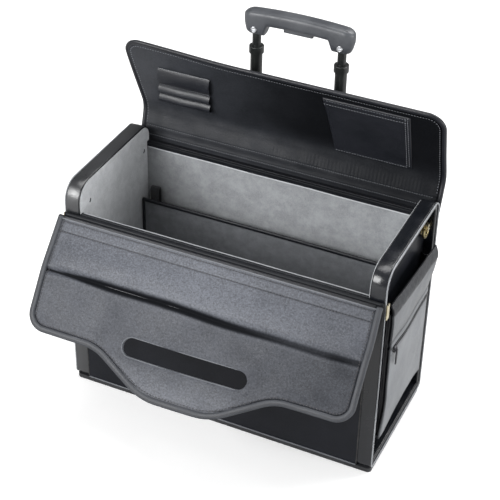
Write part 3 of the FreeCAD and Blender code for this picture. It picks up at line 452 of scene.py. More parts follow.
def thread(name, dark, light):
    p = Paint(name)
    p.set(Base_Color=p.mix(p.noise(0.8, 3.0), dark, light))
    p.set(Roughness=0.6, Sheen_Weight=0.3)
    p.bump(p.noise(0.35, 2.0), 0.1, 0.8)
    return p.material


def rubber(name):
    p = Paint(name)
    p.set(Base_Color=p.mix(p.curve(p.noise(7, 5.0), 0.35, 0.7), (0.012, 0.012, 0.013), (0.035, 0.034, 0.033)))
    p.set(Roughness=p.curve(p.noise(3, 4.0), 0.3, 0.7, 0.62, 0.85))
    p.bump(p.noise(0.8, 3.0), 0.15, 0.7)
    return p.material


# The front flap's lining and binding are black leather given a lighter blue-grey, partly painted sheen where
# the flap faces up to the light.
FLAP = leather("flap_lining", (0.068, 0.073, 0.087), (0.106, 0.113, 0.133),
               0.46, 1.0, 0.25, 60, 0.36, 0.35, 0.55)
FLAP_HEM = leather("flap_hem", (0.040, 0.043, 0.050), (0.062, 0.066, 0.075), 0.48, 0.8, 0.12, 40, 0.3)
BLACK = leather("black_leather", (0.007, 0.008, 0.011), (0.015, 0.016, 0.021),
                0.36, 1.2, 0.10, 55, 0.35, 0.15)
BLACK_SOFT = leather("black_soft_leather", (0.010, 0.011, 0.015), (0.020, 0.022, 0.028),
                     0.40, 1.0, 0.12, 50, 0.45, 0.4)
RIM = leather("rim_leather", (0.005, 0.006, 0.008), (0.011, 0.012, 0.016), 0.23, 0.9, 0.06, 60, 0.6, 0.08)
# Painted light: a lighter, rougher and shinier copy of the rim leather for the left end, which is lit more
# brightly.
RIM_LIT = leather("rim_leather_lit", (0.007, 0.008, 0.010), (0.014, 0.015, 0.019),
                   0.33, 0.9, 0.07, 60, 1.3, 0.1)
HEM = leather("pocket_hem_leather", (0.016, 0.017, 0.020), (0.030, 0.032, 0.037),
              0.48, 1.3, 0.24, 30, 0.4, 0.3, 0.4)
# Painted reflection: the rear flap's black lining gets a lighter base, darkened towards the right by its
# painted shade, to stand in for its sheen.
REAR_LINING = leather("rear_lining", (0.024, 0.026, 0.031), (0.042, 0.045, 0.053),
                      0.40, 1.0, 0.12, 50, 0.25, 0.4, 0.2)
WELT = leather("welt_leather", (0.004, 0.005, 0.007), (0.009, 0.010, 0.013), 0.50, 0.9, 0.08, 40, 0.22)
WALL = leather("wall_leather", (0.006, 0.007, 0.010), (0.012, 0.013, 0.018), 0.36, 1.2, 0.10, 55, 0.2, 0.15)
# Painted reflection: the end pockets are black leather painted mid grey for their sheen at a grazing view.
POCKET = leather("pocket_leather", (0.140, 0.148, 0.160), (0.218, 0.229, 0.244),
                 0.36, 1.6, 0.2, 45, 0.5, 0.3, 0.15)
# Painted highlights: PIPING and PIPING_SOFT are light greys on black piping, beads and rolled edges that
# stand in for the highlights along their rounded edges.
PIPING = leather("piping_vinyl", (0.24, 0.25, 0.265), (0.33, 0.34, 0.355), 0.32, 0.6, 0.03, 30, 0.4)
PIPING_SOFT = leather("rolled_edge", (0.10, 0.106, 0.12), (0.16, 0.168, 0.185), 0.38, 0.7, 0.04, 30, 0.4)
FELT = felt("grey_felt", (0.29, 0.30, 0.315), (0.43, 0.445, 0.46))
# Painted shade: a darker copy of the grey felt, for the front and rear wall linings.
WALL_FELT = felt("wall_felt", (0.22, 0.228, 0.24), (0.335, 0.347, 0.36))
# Painted highlight: a lighter copy of the felt for the felt's top edges under the rails.
FELT_EDGE_HIGHLIGHT = felt("felt_edge", (0.38, 0.39, 0.41), (0.52, 0.54, 0.56))
DIVIDER = felt("divider_felt", (0.10, 0.105, 0.115), (0.17, 0.178, 0.19))
WEB = woven("black_webbing", (0.010, 0.010, 0.012), (0.022, 0.023, 0.026))
TAPE = woven("zip_tape", (0.012, 0.013, 0.015), (0.03, 0.032, 0.036), 0.7)
MOULDED = plastic("moulded_black", (0.012, 0.012, 0.014), (0.024, 0.025, 0.028), 0.48, 0.6, 0.08)
GRIP = plastic("grip_grey", (0.040, 0.043, 0.050), (0.066, 0.070, 0.078), 0.42, 0.5, 0.06)
TUBE = plastic("tube_black", (0.008, 0.009, 0.009), (0.016, 0.018, 0.017), 0.34, 0.35, 0.02)
BRASS = metal("brass", (0.70, 0.60, 0.38), (0.88, 0.80, 0.58), 0.24)
OLD_BRASS = metal("aged_brass", (0.20, 0.17, 0.09), (0.52, 0.44, 0.24), 0.30)
DARK_METAL = metal("dark_metal", (0.04, 0.04, 0.045), (0.09, 0.09, 0.095), 0.34)
NICKEL = metal("nickel", (0.50, 0.49, 0.46), (0.68, 0.67, 0.63), 0.22)
STEEL = metal("steel", (0.45, 0.46, 0.48), (0.66, 0.67, 0.69), 0.28, (1, 8, 1))
RUBBER = rubber("tyre_rubber")
# Painted shade: a dark rubber finish for the strips put in the seams at the front wall's ends.
SEAM_SHADE = rubber("seam_shade")
DARK_THREAD = thread("dark_thread", (0.008, 0.008, 0.010), (0.03, 0.03, 0.035))
GREY_THREAD = thread("grey_thread", (0.06, 0.065, 0.075), (0.16, 0.17, 0.19))


def dress(node, material, bevel):
    """Give a carried-over CAD node its finish and soften its edges."""
    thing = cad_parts[node]
    if not thing.material_slots:
        thing.data.materials.append(material)
    for slot in thing.material_slots:
        slot.material = material
    if bevel:
        soft = thing.modifiers.new("soft_edges", "BEVEL")
        soft.width = bevel * MM
        soft.segments = 2
        soft.limit_method = "ANGLE"
        soft.angle_limit = math.radians(35)
        soft.harden_normals = True


# --- flap geometry ---

class Flap:
    """The middle line of a flap at rest, from its hinge to its free edge."""

    def __init__(self, hinge, base_turn, main_turn, crease, soft, length, inner_sign):
        self.inner_sign = inner_sign
        s = np.arange(0, length + 5, 0.25)
        angle = np.radians(base_turn + (main_turn - base_turn) * ease(crease - soft, crease + soft, s))
        steps = np.stack([np.cos(angle), np.sin(angle)], 1) * 0.25
        spots = np.array(hinge) + np.vstack([[0, 0], np.cumsum((steps[1:] + steps[:-1]) / 2, 0)])
        base, main = math.radians(base_turn), math.radians(main_turn)
        corner = np.array(hinge) + crease * np.array([math.cos(base), math.sin(base)])
        true_end = corner + (s[-1] - crease) * np.array([math.cos(main), math.sin(main)])
        spots += (true_end - spots[-1]) * ease(crease - soft, crease + soft, s)[:, None]
        self.s, self.spots, self.angle = s, spots, angle

    def at(self, x, s, lift=0.0):
        """Points on the flap; lift is towards its inner face."""
        x, s = np.broadcast_arrays(np.asarray(x, float), np.asarray(s, float))
        y = np.interp(s, self.s, self.spots[:, 0])
        z = np.interp(s, self.s, self.spots[:, 1])
        normal = self.normal(s)
        return np.stack([x, y, z], -1) + normal * np.asarray(lift, float)[..., None]

    def normal(self, s):
        angle = np.interp(s, self.s, self.angle)
        return self.inner_sign * np.stack([np.zeros_like(angle), -np.sin(angle), np.cos(angle)], -1)


FRONT_HINGE = (-100.0, 286.0)
REAR_HINGE = (100.0, 298.0)
FRONT_CREASE = 75.0
REAR_CREASE = 51.0
front = Flap(FRONT_HINGE, 226.0, 234.0, FRONT_CREASE, 10, 206, -1)
rear = Flap(REAR_HINGE, 69.2, 107.6, REAR_CREASE, 17, 178, 1)
FRONT_HALF, FRONT_LOBE, FRONT_TIP = 229.0, 159.5, 204.0
REAR_HALF, REAR_TOP = 226.0, 166.0


def front_outline(inset, start=3.0):
    """Free edge of the front flap as (x, distance from hinge), left to right."""
    half, lobe, tip = FRONT_HALF - inset, FRONT_LOBE - inset, FRONT_TIP - inset
    shift = inset * 0.2623
    right = [(half, start), (half, lobe), (128 - shift, lobe), (50 - shift, tip)]
    points = [(-x, s) for x, s in right] + right[::-1]
    radii = [26 - inset, 60 + inset, 90 - inset, 90 - inset, 60 + inset, 26 - inset]
    return resample(round_path(points, radii, 24), 1.5)


def rear_outline(inset, start=3.0):
    half, top = REAR_HALF - inset, REAR_TOP - inset
    points = [(-half, start), (-half, top), (half, top), (half, start)]
    return resample(round_path(points, [24 - inset, 24 - inset], 24), 1.5)


def flap_grid(outline, corner_x, split, first, rows_a, rows_b, cols):
    """Column positions and (x, s) grid that end exactly on an outline."""
    half = outline[:, 0].max()
    bottom = {}
    for x, s in outline:
        key = round(float(x), 3)
        bottom[key] = max(bottom.get(key, 0), s)
    xs = np.array(sorted(bottom))
    ends = np.array([bottom[k] for k in xs])
    corner = corner_x + (half - corner_x) * np.sin(np.linspace(0, math.pi / 2, 16))
    x = np.concatenate([-corner[::-1], np.linspace(-corner_x, corner_x, cols)[1:-1], corner])
    end = np.interp(x, xs, ends)
    a = np.linspace(first, split, rows_a)
    b = np.linspace(0, 1, rows_b)[1:]
    s = np.concatenate([np.repeat(a[:, None], len(x), 1), split + (end - split)[None] * b[:, None]])
    return np.repeat(x[None], len(s), 0), s


def stadium_distance(x, s, middle, half, radius):
    over = np.maximum(np.abs(x) - (half - radius), 0)
    return np.hypot(over, s - middle) - radius


SLOT_X, SLOT_S, SLOT_HALF, SLOT_RADIUS = -2.0, 142.5, 88.5, 12.5
FRONT_ROWS, REAR_ROWS = (10.5, 24.0), (9.0, 22.0)
LINING_START = 7.0


def plate_mark(x, s, cx, cs, half_x, half_s, blur=1.6):
    """A rounded raised patch where something lies under the lining."""
    dx, ds = np.abs(x - cx) - half_x, np.abs(s - cs) - half_s
    outside = np.hypot(np.maximum(dx, 0), np.maximum(ds, 0)) + np.minimum(np.maximum(dx, ds), 0)
    return 1 - ease(-blur, blur, outside)


def crease_line(x):
    """Where the front flap's fold runs, as a distance from the hinge."""
    return 77.5 + 1.2 * np.sin(x / 61) + 0.5 * np.sin(x / 23)


def crease_depth(x):
    return 1 - 0.5 * ease(-20, 170, x)


def front_relief(x, s):
    """Height of the front flap's inner face over its middle plane."""
    edge = FRONT_HALF - np.abs(x)
    free = ease(6, 30, edge)
    pad_zone = ease(21, 56, s) * (1 - ease(65, 76, s)) * free
    sag = 3.0 * pad_zone
    soft = pad_zone * (0.5 * ripples(x * 0.45, s, 3, 130, 45) + 0.10 * ripples(x, s * 1.4, 5, 34, 14))
    valley = -4.0 * crease_depth(x) * dent(s - crease_line(x), 2.9) * ease(3, 9, edge)
    panel = ease(80, 98, s)
    flat = panel * (0.45 * ripples(x, s, 11, 150, 50) + 0.06 * ripples(x, s, 12, 26, 10))
    slot = stadium_distance(x - SLOT_X, s, SLOT_S, SLOT_HALF, SLOT_RADIUS)
    plate = 0.6 * plate_mark(x, s, SLOT_X, SLOT_S, SLOT_HALF + 4, SLOT_RADIUS + 3.5, 3.0)
    rim = -0.4 * dent(slot - 3.2, 1.0)
    marks = sum(0.55 * plate_mark(x, s, side * 145, SLOT_S + 4, 19, 8, 2.4) for side in (-1, 1))
    rows = sum(-0.35 * dent(s - row, 0.9) for row in FRONT_ROWS)
    return 2.0 + sag + soft + valley + flat + plate + rim + marks + rows


def front_shade(x, s, border):
    """Painted shade in the crease, in the seam and stitch grooves and along the left edge above the crease,
    and painted light and shade over the lining, with faint random unevenness.
    """
    below = s - crease_line(x)
    half = 1.6 + 4.7 * ease(-218, -125, x) - 1.8 * ease(0, 140, x)
    # Painted shade in the crease: a dark band, widest on the left and fading to the right.
    dark = crease_depth(x) * (1 - ease(0.4, 1.35, np.abs(below) / half))
    # Painted shade in the groove along the binding's inner edge.
    seams = 0.75 * dent(border - 8.7, 0.8)
    # Painted shade along the left edge above the crease.
    side = 0.55 * (1 - ease(6, 15, FRONT_HALF + x)) * (1 - ease(66, 76, s))
    dark = np.maximum(dark, side)
    # Painted shade in the stitch-row grooves.
    rows = sum(0.6 * dent(s - row, 0.7) for row in FRONT_ROWS)
    upper = 1 - ease(70, 90, s)
    panel = (1 - upper) * (1 - ease(155, 192, s))
    # Painted light and shade over the lining: faint random unevenness, darker to the right, darker on the
    # left of the strip above the crease, and darker over the lower panel up to the tongue.
    tone = 0.10 * ease(0.1, 1.2, ripples(x * 0.6, s, 14, 90, 25)) + 0.20 * ease(0, 230, x)
    tone += upper * (0.14 * (1 - ease(-220, -90, x)) + 0.06 * ease(0, 200, x))
    tone += 0.10 * (1 - upper) + 0.30 * panel
    return np.clip(np.maximum(np.maximum(dark, seams), rows) + tone, 0, 1)


def bend(thing, flap):
    """Bakes a piece of a flap's covering into its mesh as it stands; the flap's name and the ends of its
    bending zone are worked out but not used.
    """
    name, (first, last) = ("front_flap", (28, 74)) if flap is front else ("rear_flap", (12, 50))
    start, end = flap.at(0, first) * MM, flap.at(0, last) * MM
    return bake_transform(thing)


def widen(x, s):
    """The front flap is a little narrower at its hinge, and its left side has spread with use."""
    narrow = np.where(x > 0, 0.013 * (1 - ease(0, 60, s)), 0)
    return x * (1 - narrow) - 4.4 * ease(95, 229, -x)


def droop(x, s):
    """The front flap's right lobe hangs a little shorter than its left one."""
    return s - 5.5 * ease(-40, 215, x) * ease(90, 165, s)


def lean(x, s):
    """The rear flap's left side flares towards its top corner, which stands a little higher."""
    left = ease(60, 226, -x)
    x = x + left * (4.5 - 11.5 * ease(15, 166, s)) + ease(60, 226, x) * ease(80, 166, s)
    return x, s + 7.0 * left * ease(70, 160, s)


def hung(flap, x, s, lift=0.0):
    """Points and inward directions on a flap once it hangs a little unevenly."""
    x, s = lean(x, s) if flap is rear else (widen(x, s), droop(x, s))
    return flap.at(x, s, lift), flap.normal(s)


def build_front_flap():
    x, s = flap_grid(front_outline(1.0), 200, 92, 2.5, 60, 62, 250)
    slot = stadium_distance(x - SLOT_X, s, SLOT_S, SLOT_HALF, SLOT_RADIUS)
    inside = slot < 0
    kept = ~(inside[:-1, :-1] & inside[1:, :-1] & inside[:-1, 1:] & inside[1:, 1:])
    straight = SLOT_HALF - SLOT_RADIUS
    core = np.clip(x, SLOT_X - straight, SLOT_X + straight)
    away = unit(np.stack([x - core, s - SLOT_S], -1))
    x = np.where(inside, core + away[..., 0] * SLOT_RADIUS, x)
    s = np.where(inside, SLOT_S + away[..., 1] * SLOT_RADIUS, s)
    points, normals = hung(front, x, s)
    outer = 2.0 + 0.5 * ease(25, 40, s) * (1 - ease(60, 74, s)) + 0.25 * ripples(x, s, 21, 140, 40)
    border = edge_distance(x, s, front_outline(0))
    lift = front_relief(x, s) - 0.5 * dent(border - 8.8, 1.1)
    # tone is the painted shade from front_shade.
    verts, faces, tone = sheet(points, normals, lift, outer, kept, front_shade(x, s, border))
    flap = piece("front_flap_cover", verts, faces, FLAP, slot="flap_lining",
                 nodes=("front_flap_hinge_strip", "front_flap_fold", "front_flap_panel",
                        "lock_backing_plates"))
    mark(flap, tone)
    paint_outer_side(flap, front)
    bend(flap, front)

    hem = front_outline(4.0, 4).T
    bend(bar("front_flap_edge_binding", *hung(front, *hem, 0.3), oval(8.2, 5.4, 18, 3.0), FLAP_HEM,
             nodes=("front_flap_binding",), slot="black_leather"), front)
    rim = front_outline(3.1, 4).T
    bend(bar("front_flap_binding_seam", *hung(front, *rim, 2.85), oval(0.9, 0.7, 8), DARK_THREAD), front)

    slot_path = stadium_path(SLOT_HALF + 0.6, SLOT_RADIUS + 0.6)
    level = droop(slot_path[:, 0], slot_path[:, 1] + SLOT_S)
    path = front.at(slot_path[:, 0] + SLOT_X, level, 0.1)
    # Painted highlight: a light lip round the slot.
    bar("front_flap_slot_lip", path, front.normal(level), oval(1.8, 5.6, 12, 2.4), PIPING_SOFT, "front_flap",
        closed=True)

    threads = Pile()
    for row in FRONT_ROWS:
        stitch_on(threads, front, track(np.linspace(-218, 218, 300), row), front_relief, 4.2)
    stitch_on(threads, front, front_outline(10.6, 8), front_relief, 4.4)
    bend(threads.make("front_flap_stitching", DARK_THREAD), front)

    top = hung(front, np.linspace(-223, 223, 200), LINING_START, 1.8)
    # Painted highlight: a light roll along the flap's top edge.
    bar("front_flap_top_roll", *top, oval(1.8, 1.6, 12), PIPING_SOFT, "front_flap_root")


def stadium_path(half, radius, step=1.2):
    straight = half - radius
    angles = np.linspace(-math.pi / 2, math.pi / 2, 24)
    right = np.stack([straight + radius * np.cos(angles), radius * np.sin(angles)], 1)
    left = np.stack([-straight - radius * np.cos(angles), -radius * np.sin(angles)], 1)
    return resample(np.vstack([right, left]), step, closed=True)


def stitch_on(pile, flap, line, relief, pitch):
    x, s = resample(line, 1.2).T
    radius = 0.68 if flap is front else 0.5
    stitches(pile, *hung(flap, x, s, relief(x, s)), pitch, pitch * 0.66, radius, 0.05)


def paint_outer_side(thing, flap):
    """The covering on the outer face of a flap is black leather."""
    mesh = thing.data
    mesh.materials.append(BLACK)
    normals, centres = np.zeros((2, len(mesh.polygons) * 3))
    mesh.polygons.foreach_get("normal", normals)
    mesh.polygons.foreach_get("center", centres)
    normals, centres = normals.reshape(-1, 3), centres.reshape(-1, 3) / MM
    nearest = np.argmin(((centres[:, None, 1:] - flap.spots[None, ::4]) ** 2).sum(-1), 1) * 4
    inward = flap.normal(flap.s[nearest])
    outside = (normals * inward).sum(-1) < -0.2
    outside |= flap.s[nearest] < LINING_START
    mesh.polygons.foreach_set("material_index", outside.astype(int))


def rear_relief(x, s):
    """Height of the rear flap's inner face over its middle plane."""
    over_rim = ease(16, 36, REAR_HALF - np.abs(x))
    pad_zone = ease(13, 24, s) * (1 - ease(44, 60, s)) * over_rim
    sag = 1.4 * pad_zone
    pleats = 0.32 * over_rim * ease(14, 20, s) * (1 - ease(30, 52, s)) * ease(-150, 200, x)
    pleats *= np.sin(x * 2 * math.pi / 5.2 + 1.5 * np.sin(x / 31))
    soft = pad_zone * 0.7 * ripples(x, s, 31, 110, 26)
    flat = ease(55, 75, s) * (0.4 * ripples(x, s, 33, 170, 60))
    rows = sum(-0.35 * dent(s - row, 0.9) for row in REAR_ROWS)
    return 2.0 - 1.2 * (1 - ease(4, 9, s)) + sag + pleats + soft + flat + rows


def build_rear_flap():
    x, s = flap_grid(rear_outline(1.0), 200, 70, 2.5, 50, 48, 250)
    points, normals = hung(rear, x, s)
    outer = 2.0 + 0.25 * ripples(x, s, 41, 140, 40)
    border = edge_distance(x, s, rear_outline(0))
    # Painted shade along the inner edge of the binding, and painted reflection: the panel darker towards the
    # right, and the strip near the hinge darker, more so on the right.
    tone = 0.6 * dent(border - 6.2, 0.8) + 0.9 * ease(-200, 60, x) * ease(45, 80, s)
    tone += (0.35 + 0.35 * ease(-120, 180, x)) * (1 - ease(45, 80, s))
    verts, faces, tone = sheet(points, normals, rear_relief(x, s), outer, None, np.clip(tone, 0, 1))
    flap = piece("rear_flap_cover", verts, faces, REAR_LINING, slot="black_leather",
                 nodes=("rear_flap_hinge_strip", "rear_flap_fold", "rear_flap_panel"))
    mark(flap, tone)
    bend(flap, rear)

    hem = rear_outline(2.6, 4).T
    bend(bar("rear_flap_edge_binding", *hung(rear, *hem, 0.1), oval(6.4, 5.3, 16, 2.3), BLACK,
             nodes=("rear_flap_binding",), slot="black_leather"), rear)

    threads = Pile()
    for row in REAR_ROWS:
        stitch_on(threads, rear, track(np.linspace(-216, 216, 300), row), rear_relief, 3.4)
    stitch_on(threads, rear, rear_outline(8.0, 26), rear_relief, 3.8)
    bend(threads.make("rear_flap_stitching", GREY_THREAD), rear)


def build_hinge_welts():
    """Rolled strips along the two hinge lines, and the beads and dark strips beside the walls' seams; the
    light beads are painted highlights and the dark strips painted shade.
    """
    for name, (y, z), half in (("front_hinge_welt", FRONT_HINGE, 225.5),
                               ("rear_hinge_welt", REAR_HINGE, 225.0)):
        bar(name, track(np.linspace(-half, half, 120), y, z), (0, 0, 1), oval(5.2, 5.2, 16), WELT, "case")
    # Painted highlights: the inner bead and the bottom bead are light beads along edges that catch the light.
    beads = (("front_rail_inner_bead", -89.9, 287.2, 205.5, 1.5, PIPING),
             ("front_rail_seam_bead", -94.2, 287.3, 205.5, 0.9, BLACK_SOFT),
             ("rear_rail_seam_bead", 93.4, 301.2, 205.5, 0.9, BLACK_SOFT),
             ("front_wall_bottom_bead", -97.5, 9.2, 205.0, 2.0, PIPING_SOFT))
    for name, y, z, half, width, material in beads:
        x = np.linspace(-half, half, 160)
        path = track(x, y + 0.12 * np.sin(x / 19), z)
        bar(name, path, (0, 0, 1), oval(width, width, 10), material, "case")
    # Painted shade: dark strips down the seams at the ends of the front wall.
    for side, word in SIDES:
        path = track(side * 205.6, -97.15, np.linspace(10, 272, 40))
        bar("front_seam_shade_" + word, path, (0, -1, 0), oval(1.5, 0.8, 8), SEAM_SHADE, "case")


def build_pen_loops():
    """Three sewn channels across the left of the rear flap's inner face."""
    low, left, right, lean_in = 69.0, -191.0, -113.0, 0.10
    widths, rises = (16.5, 16.5, 31.0), (7.2, 7.2, 5.0)
    outer, at = [], low
    for width, rise in zip(widths, rises):
        f = np.linspace(0, 1, 17)
        outer.append(track(at + width * f, 0.9 + rise * np.sin(math.pi * f) ** 0.62)[:-1])
        at += width
    outer = np.vstack(outer + [[[at, 0.9]]])
    slope = unit(np.gradient(outer, axis=0))
    inner = outer + track(slope[:, 1], -slope[:, 0]) * 1.1
    inner[:, 1] = np.maximum(inner[:, 1], 0.15)
    s, h = np.vstack([outer, inner[::-1]]).T
    cols = np.linspace(left, right, 60)
    rings = np.array([rear.at(x + lean_in * (s - low), s, 2.2 + h * (1 + 0.05 * math.sin(x / 9.0)))
                      for x in cols])
    verts, faces = skin(rings)
    faces = faces[:-2]
    k, m = len(outer), len(s)
    for i, flip in ((0, False), (len(cols) - 1, True)):
        for a in range(k - 1):
            quad = [i * m + a, i * m + m - 1 - a, i * m + m - 2 - a, i * m + a + 1]
            faces.append(quad[::-1] if flip else quad)
    piece("pen_channels", verts, faces, BLACK_SOFT, "rear_flap", ("pen_loops",), "black_leather", 60)
    threads, at = Pile(), low
    for width in (0,) + widths:
        at += width
        path = rear.at(np.linspace(left + 1, right - 1, 60) + lean_in * (at - low), at, 3.3)
        stitches(threads, path, rear.normal(at), 3.0, 2.1, 0.4)
    threads.make("pen_channel_stitching", GREY_THREAD, "rear_flap")


def build_card_pocket():
    """A patch pocket with a slanted mouth and double stitching at the right of the rear flap."""
    low, high, left, right, leaning = 55.0, 152.0, 59.0, 180.0, 11.0
    u, v = np.meshgrid(np.linspace(0, 1, 90), np.linspace(0, 1, 70))
    s = low + (high - low) * v
    mouth = left + leaning * (1 - v) + 0.8 * np.sin(math.pi * v)
    x = mouth + (right - mouth) * u
    rise = 0.9 + 0.9 * np.sin(math.pi * u) * np.sin(math.pi * v) + 0.15 * ripples(x, s, 51, 60, 14)
    fold = 0.8 * dent(x - mouth - 2.2, 1.4) + 0.7 * dent(high - s - 2.0, 1.3)
    fold += 0.7 * dent(right - x - 2.0, 1.2)
    seam = -0.5 * dent(high - s - 10.0, 0.9) - 0.5 * dent(right - x - 5.5, 0.8)
    border = np.minimum(np.minimum(x - mouth, right - x), np.minimum(s - low, high - s))
    lift = 2.1 + (rise + fold + seam) * ease(-0.5, 2.0, border) + 0.5
    verts, faces = sheet(rear.at(x, s), rear.normal(s), lift, -1.2)
    piece("card_pocket_patch", verts, faces, BLACK, "rear_flap", ("card_pocket",), "black_leather", 60)
    threads = Pile()
    lines = [((left + 3, high - inset), (right - 3, high - inset)) for inset in (3.4, 10.0)]
    lines += [((right - inset, high - 2), (right - inset, low + 2)) for inset in (3.6, 7.0)]
    lines.append(((left + leaning + 3, low + 3), (right - 4, low + 3)))
    for line in lines:
        x, s = resample(line, 1.5).T
        stitches(threads, rear.at(x, s, 4.1), rear.normal(s), 3.8, 2.6, 0.46)
    threads.make("card_pocket_stitching", GREY_THREAD, "rear_flap")


# --- case ends ---

CASE_LOW, CASE_HIGH, CASE_HALF_DEPTH = 8.0, 329.0, 97.0


def end_loop(inset, step=2.0):
    """The outline of a case end in (y, z), pulled in by an inset."""
    y, low, high = CASE_HALF_DEPTH - inset, CASE_LOW + inset, CASE_HIGH - inset
    bottom = max(7 - inset, 1.0)
    points = [(0, low), (y, low), (y, high), (-y, high), (-y, low), (0, low)]
    radii = [bottom, 18 - inset, 28 - inset, bottom]
    loop = round_path(points, [max(r, 0.8) for r in radii], 16)
    return resample(loop[:-1], step, closed=True)


def outward(loop):
    """Outward direction along a closed (y, z) loop that runs anticlockwise."""
    tangent = unit(np.roll(loop, -1, 0) - np.roll(loop, 1, 0))
    return np.stack([np.zeros(len(loop)), tangent[:, 1], -tangent[:, 0]], 1)


def build_ends():
    """On each end a padded band, piping at its outer edge painted light grey as a highlight, and a welt at
    its inner edge; the left band takes a lighter, shinier copy of the rim leather as painted light.
    """
    for side, word in SIDES:
        # The left band's rim leather is a lighter, shinier copy: painted light.
        bands = (("end_rim_band_", 216.0, 5.0, band_profile(19.8, 9.9, 1.6), RIM if side > 0 else RIM_LIT,
                  ("end_rims",), "black_leather", 50),
                 ("end_piping_", 226.9, 1.6, oval(2.0, 2.4, 12), PIPING,
                  ("rim_pipings",), "piping_vinyl", None),
                 ("end_inner_welt_", 206.2, 1.2, oval(1.6, 1.8, 8), RIM, (), None, None))
        for name, x, inset, profile, material, nodes, slot, angle in bands:
            loop = end_loop(inset)
            bar(name + word, track(side * x, *loop.T), outward(loop), profile, material, "case", nodes, slot,
                closed=True, angle=angle)


def band_profile(width, height, radius):
    """A padded band section: flat below, gently crowned above, with rounded edges."""
    half, tall = width / 2, height / 2
    corners = [(0, -tall), (half, -tall), (half, tall - 0.4), (0, tall + 0.25), (-half, tall - 0.4),
               (-half, -tall), (0, -tall)]
    return round_path(corners, [radius, radius, 30, radius, radius], 5)[:-1][::-1]


def build_felt():
    """The felt's turned top edges under the rails, painted lighter than the felt for the light they catch,
    and its fixing marks.
    """
    for name, y, z in (("front_felt_edge", -89.4, 275.2), ("rear_felt_edge", 89.2, 293.8)):
        x = np.linspace(-203.5, 203.5, 160)
        path = track(x, y + 0.15 * np.sin(x / 17), z + 0.25 * np.sin(x / 23))
        bar(name, path, (0, 0, 1), oval(1.6, 1.8, 10), FELT_EDGE_HIGHLIGHT, "case")
    marks = Pile()
    for side in (-1, 1):
        for y, z in ((79, 291), (-70, 296)):
            ends = [(side * 204.2, y - 1.2, z - 2.6), (side * 203.6, y, z), (side * 204.2, y + 1.2, z + 2.6)]
            marks.add(*sweep(resample(ends, 0.8), (-side, 0, 0), oval(1.8, 1.2, 8)))
    marks.make("felt_fixing_marks", DARK_THREAD, "case")


def build_divider():
    """A felt-faced board with a bound top edge and a bound left edge."""
    left, right, low, high, y = -203.0, 203.0, 15.0, 215.0, 70.0
    x, z = np.meshgrid(np.linspace(left, right, 140), np.linspace(low, high, 70))
    bow = 1.4 * np.sin(math.pi * (x - left) / (right - left))
    verts, faces = sheet(track(x, y + bow * ease(low, high, z), z), (0, -1, 0), 1.1, 1.1)
    piece("divider_board", verts, faces, DIVIDER, "case", ("divider_pocket",), "dark_fabric")
    rim = track(x[0], y + bow[0], high + 0.8)
    bar("divider_top_binding", rim, (0, 0, 1), oval(4.4, 6.0, 12, 2.6), BLACK, "case")
    post = track(left + 1.6, y - 0.6, np.linspace(low, high + 1.5, 60))
    bar("divider_side_binding", post, (0, -1, 0), oval(4.6, 4.4, 12, 2.6), BLACK, "case")


def build_strap():
    """A short webbing tab looped over behind the divider."""
    path = resample(round_path([(75.4, 188), (75.4, 236), (83.6, 236), (83.6, 190)], [3.8, 3.8], 8), 1.5)
    line = track(-187.0, *path.T)
    ups = np.cross(unit(np.gradient(line, axis=0)), (1.0, 0, 0))
    bar("retaining_tab", line, ups, oval(13.5, 1.8, 14, 4.0), WEB, "case",
        ("retaining_strap",), "dark_fabric")


# --- end pockets ---

POCKET_FRONT, POCKET_REAR, POCKET_LOW, POCKET_TOP, POCKET_ZIP = -68.0, 84.0, 43.0, 249.0, 187.0
HEM_HEIGHT = 14.0


def pocket_point(u, v):
    """(y, z) on a baggy end pocket; u runs from the front edge to the rear, v from the foot to the hem."""
    edge = POCKET_FRONT - 5.0 * (1 - ease(0, 0.35, v))
    y = edge + (POCKET_REAR - edge) * u
    sag = 13.0 * np.sin(math.pi * np.clip(u, 0, 1)) ** 0.9 + 6.0 * u
    return y, POCKET_LOW + (POCKET_TOP - POCKET_LOW) * v + sag * (1 - v) ** 2.2


def zip_height(y):
    """The zip climbs a little towards the front."""
    return POCKET_ZIP + 3.0 * (10.0 - y) / 75.0


def pocket_face(y, z):
    """How far out an end pocket's face stands, from the middle of the case."""
    across = (y - POCKET_FRONT) / (POCKET_REAR - POCKET_FRONT)
    flare = (1.5 + 7.5 * across) * ease(zip_height(y) + 8, 252, z) ** 0.8
    filled = np.sin(math.pi * np.clip((z - POCKET_LOW) / 215, 0, 1)) ** 0.8
    belly = (1.6 * np.sin(math.pi * np.clip(across, 0, 1)) + 2.2 * (1 - ease(0.1, 0.9, across))) * filled
    soft = 0.5 * ripples(y, z, 61, 110, 34)
    off = z - zip_height(y)
    seam = -1.2 * dent(off - 1, 1.3) + 0.7 * dent(off - 6.5, 3.0)
    seam -= 0.9 * dent(off - 12.5, 1.1)
    edge = np.minimum(np.minimum(y - POCKET_FRONT + 5, POCKET_REAR - y), z - POCKET_LOW)
    turn_in = -1.8 * (1 - ease(0, 5, edge))
    return 227.0 + flare + belly + soft + seam + turn_in


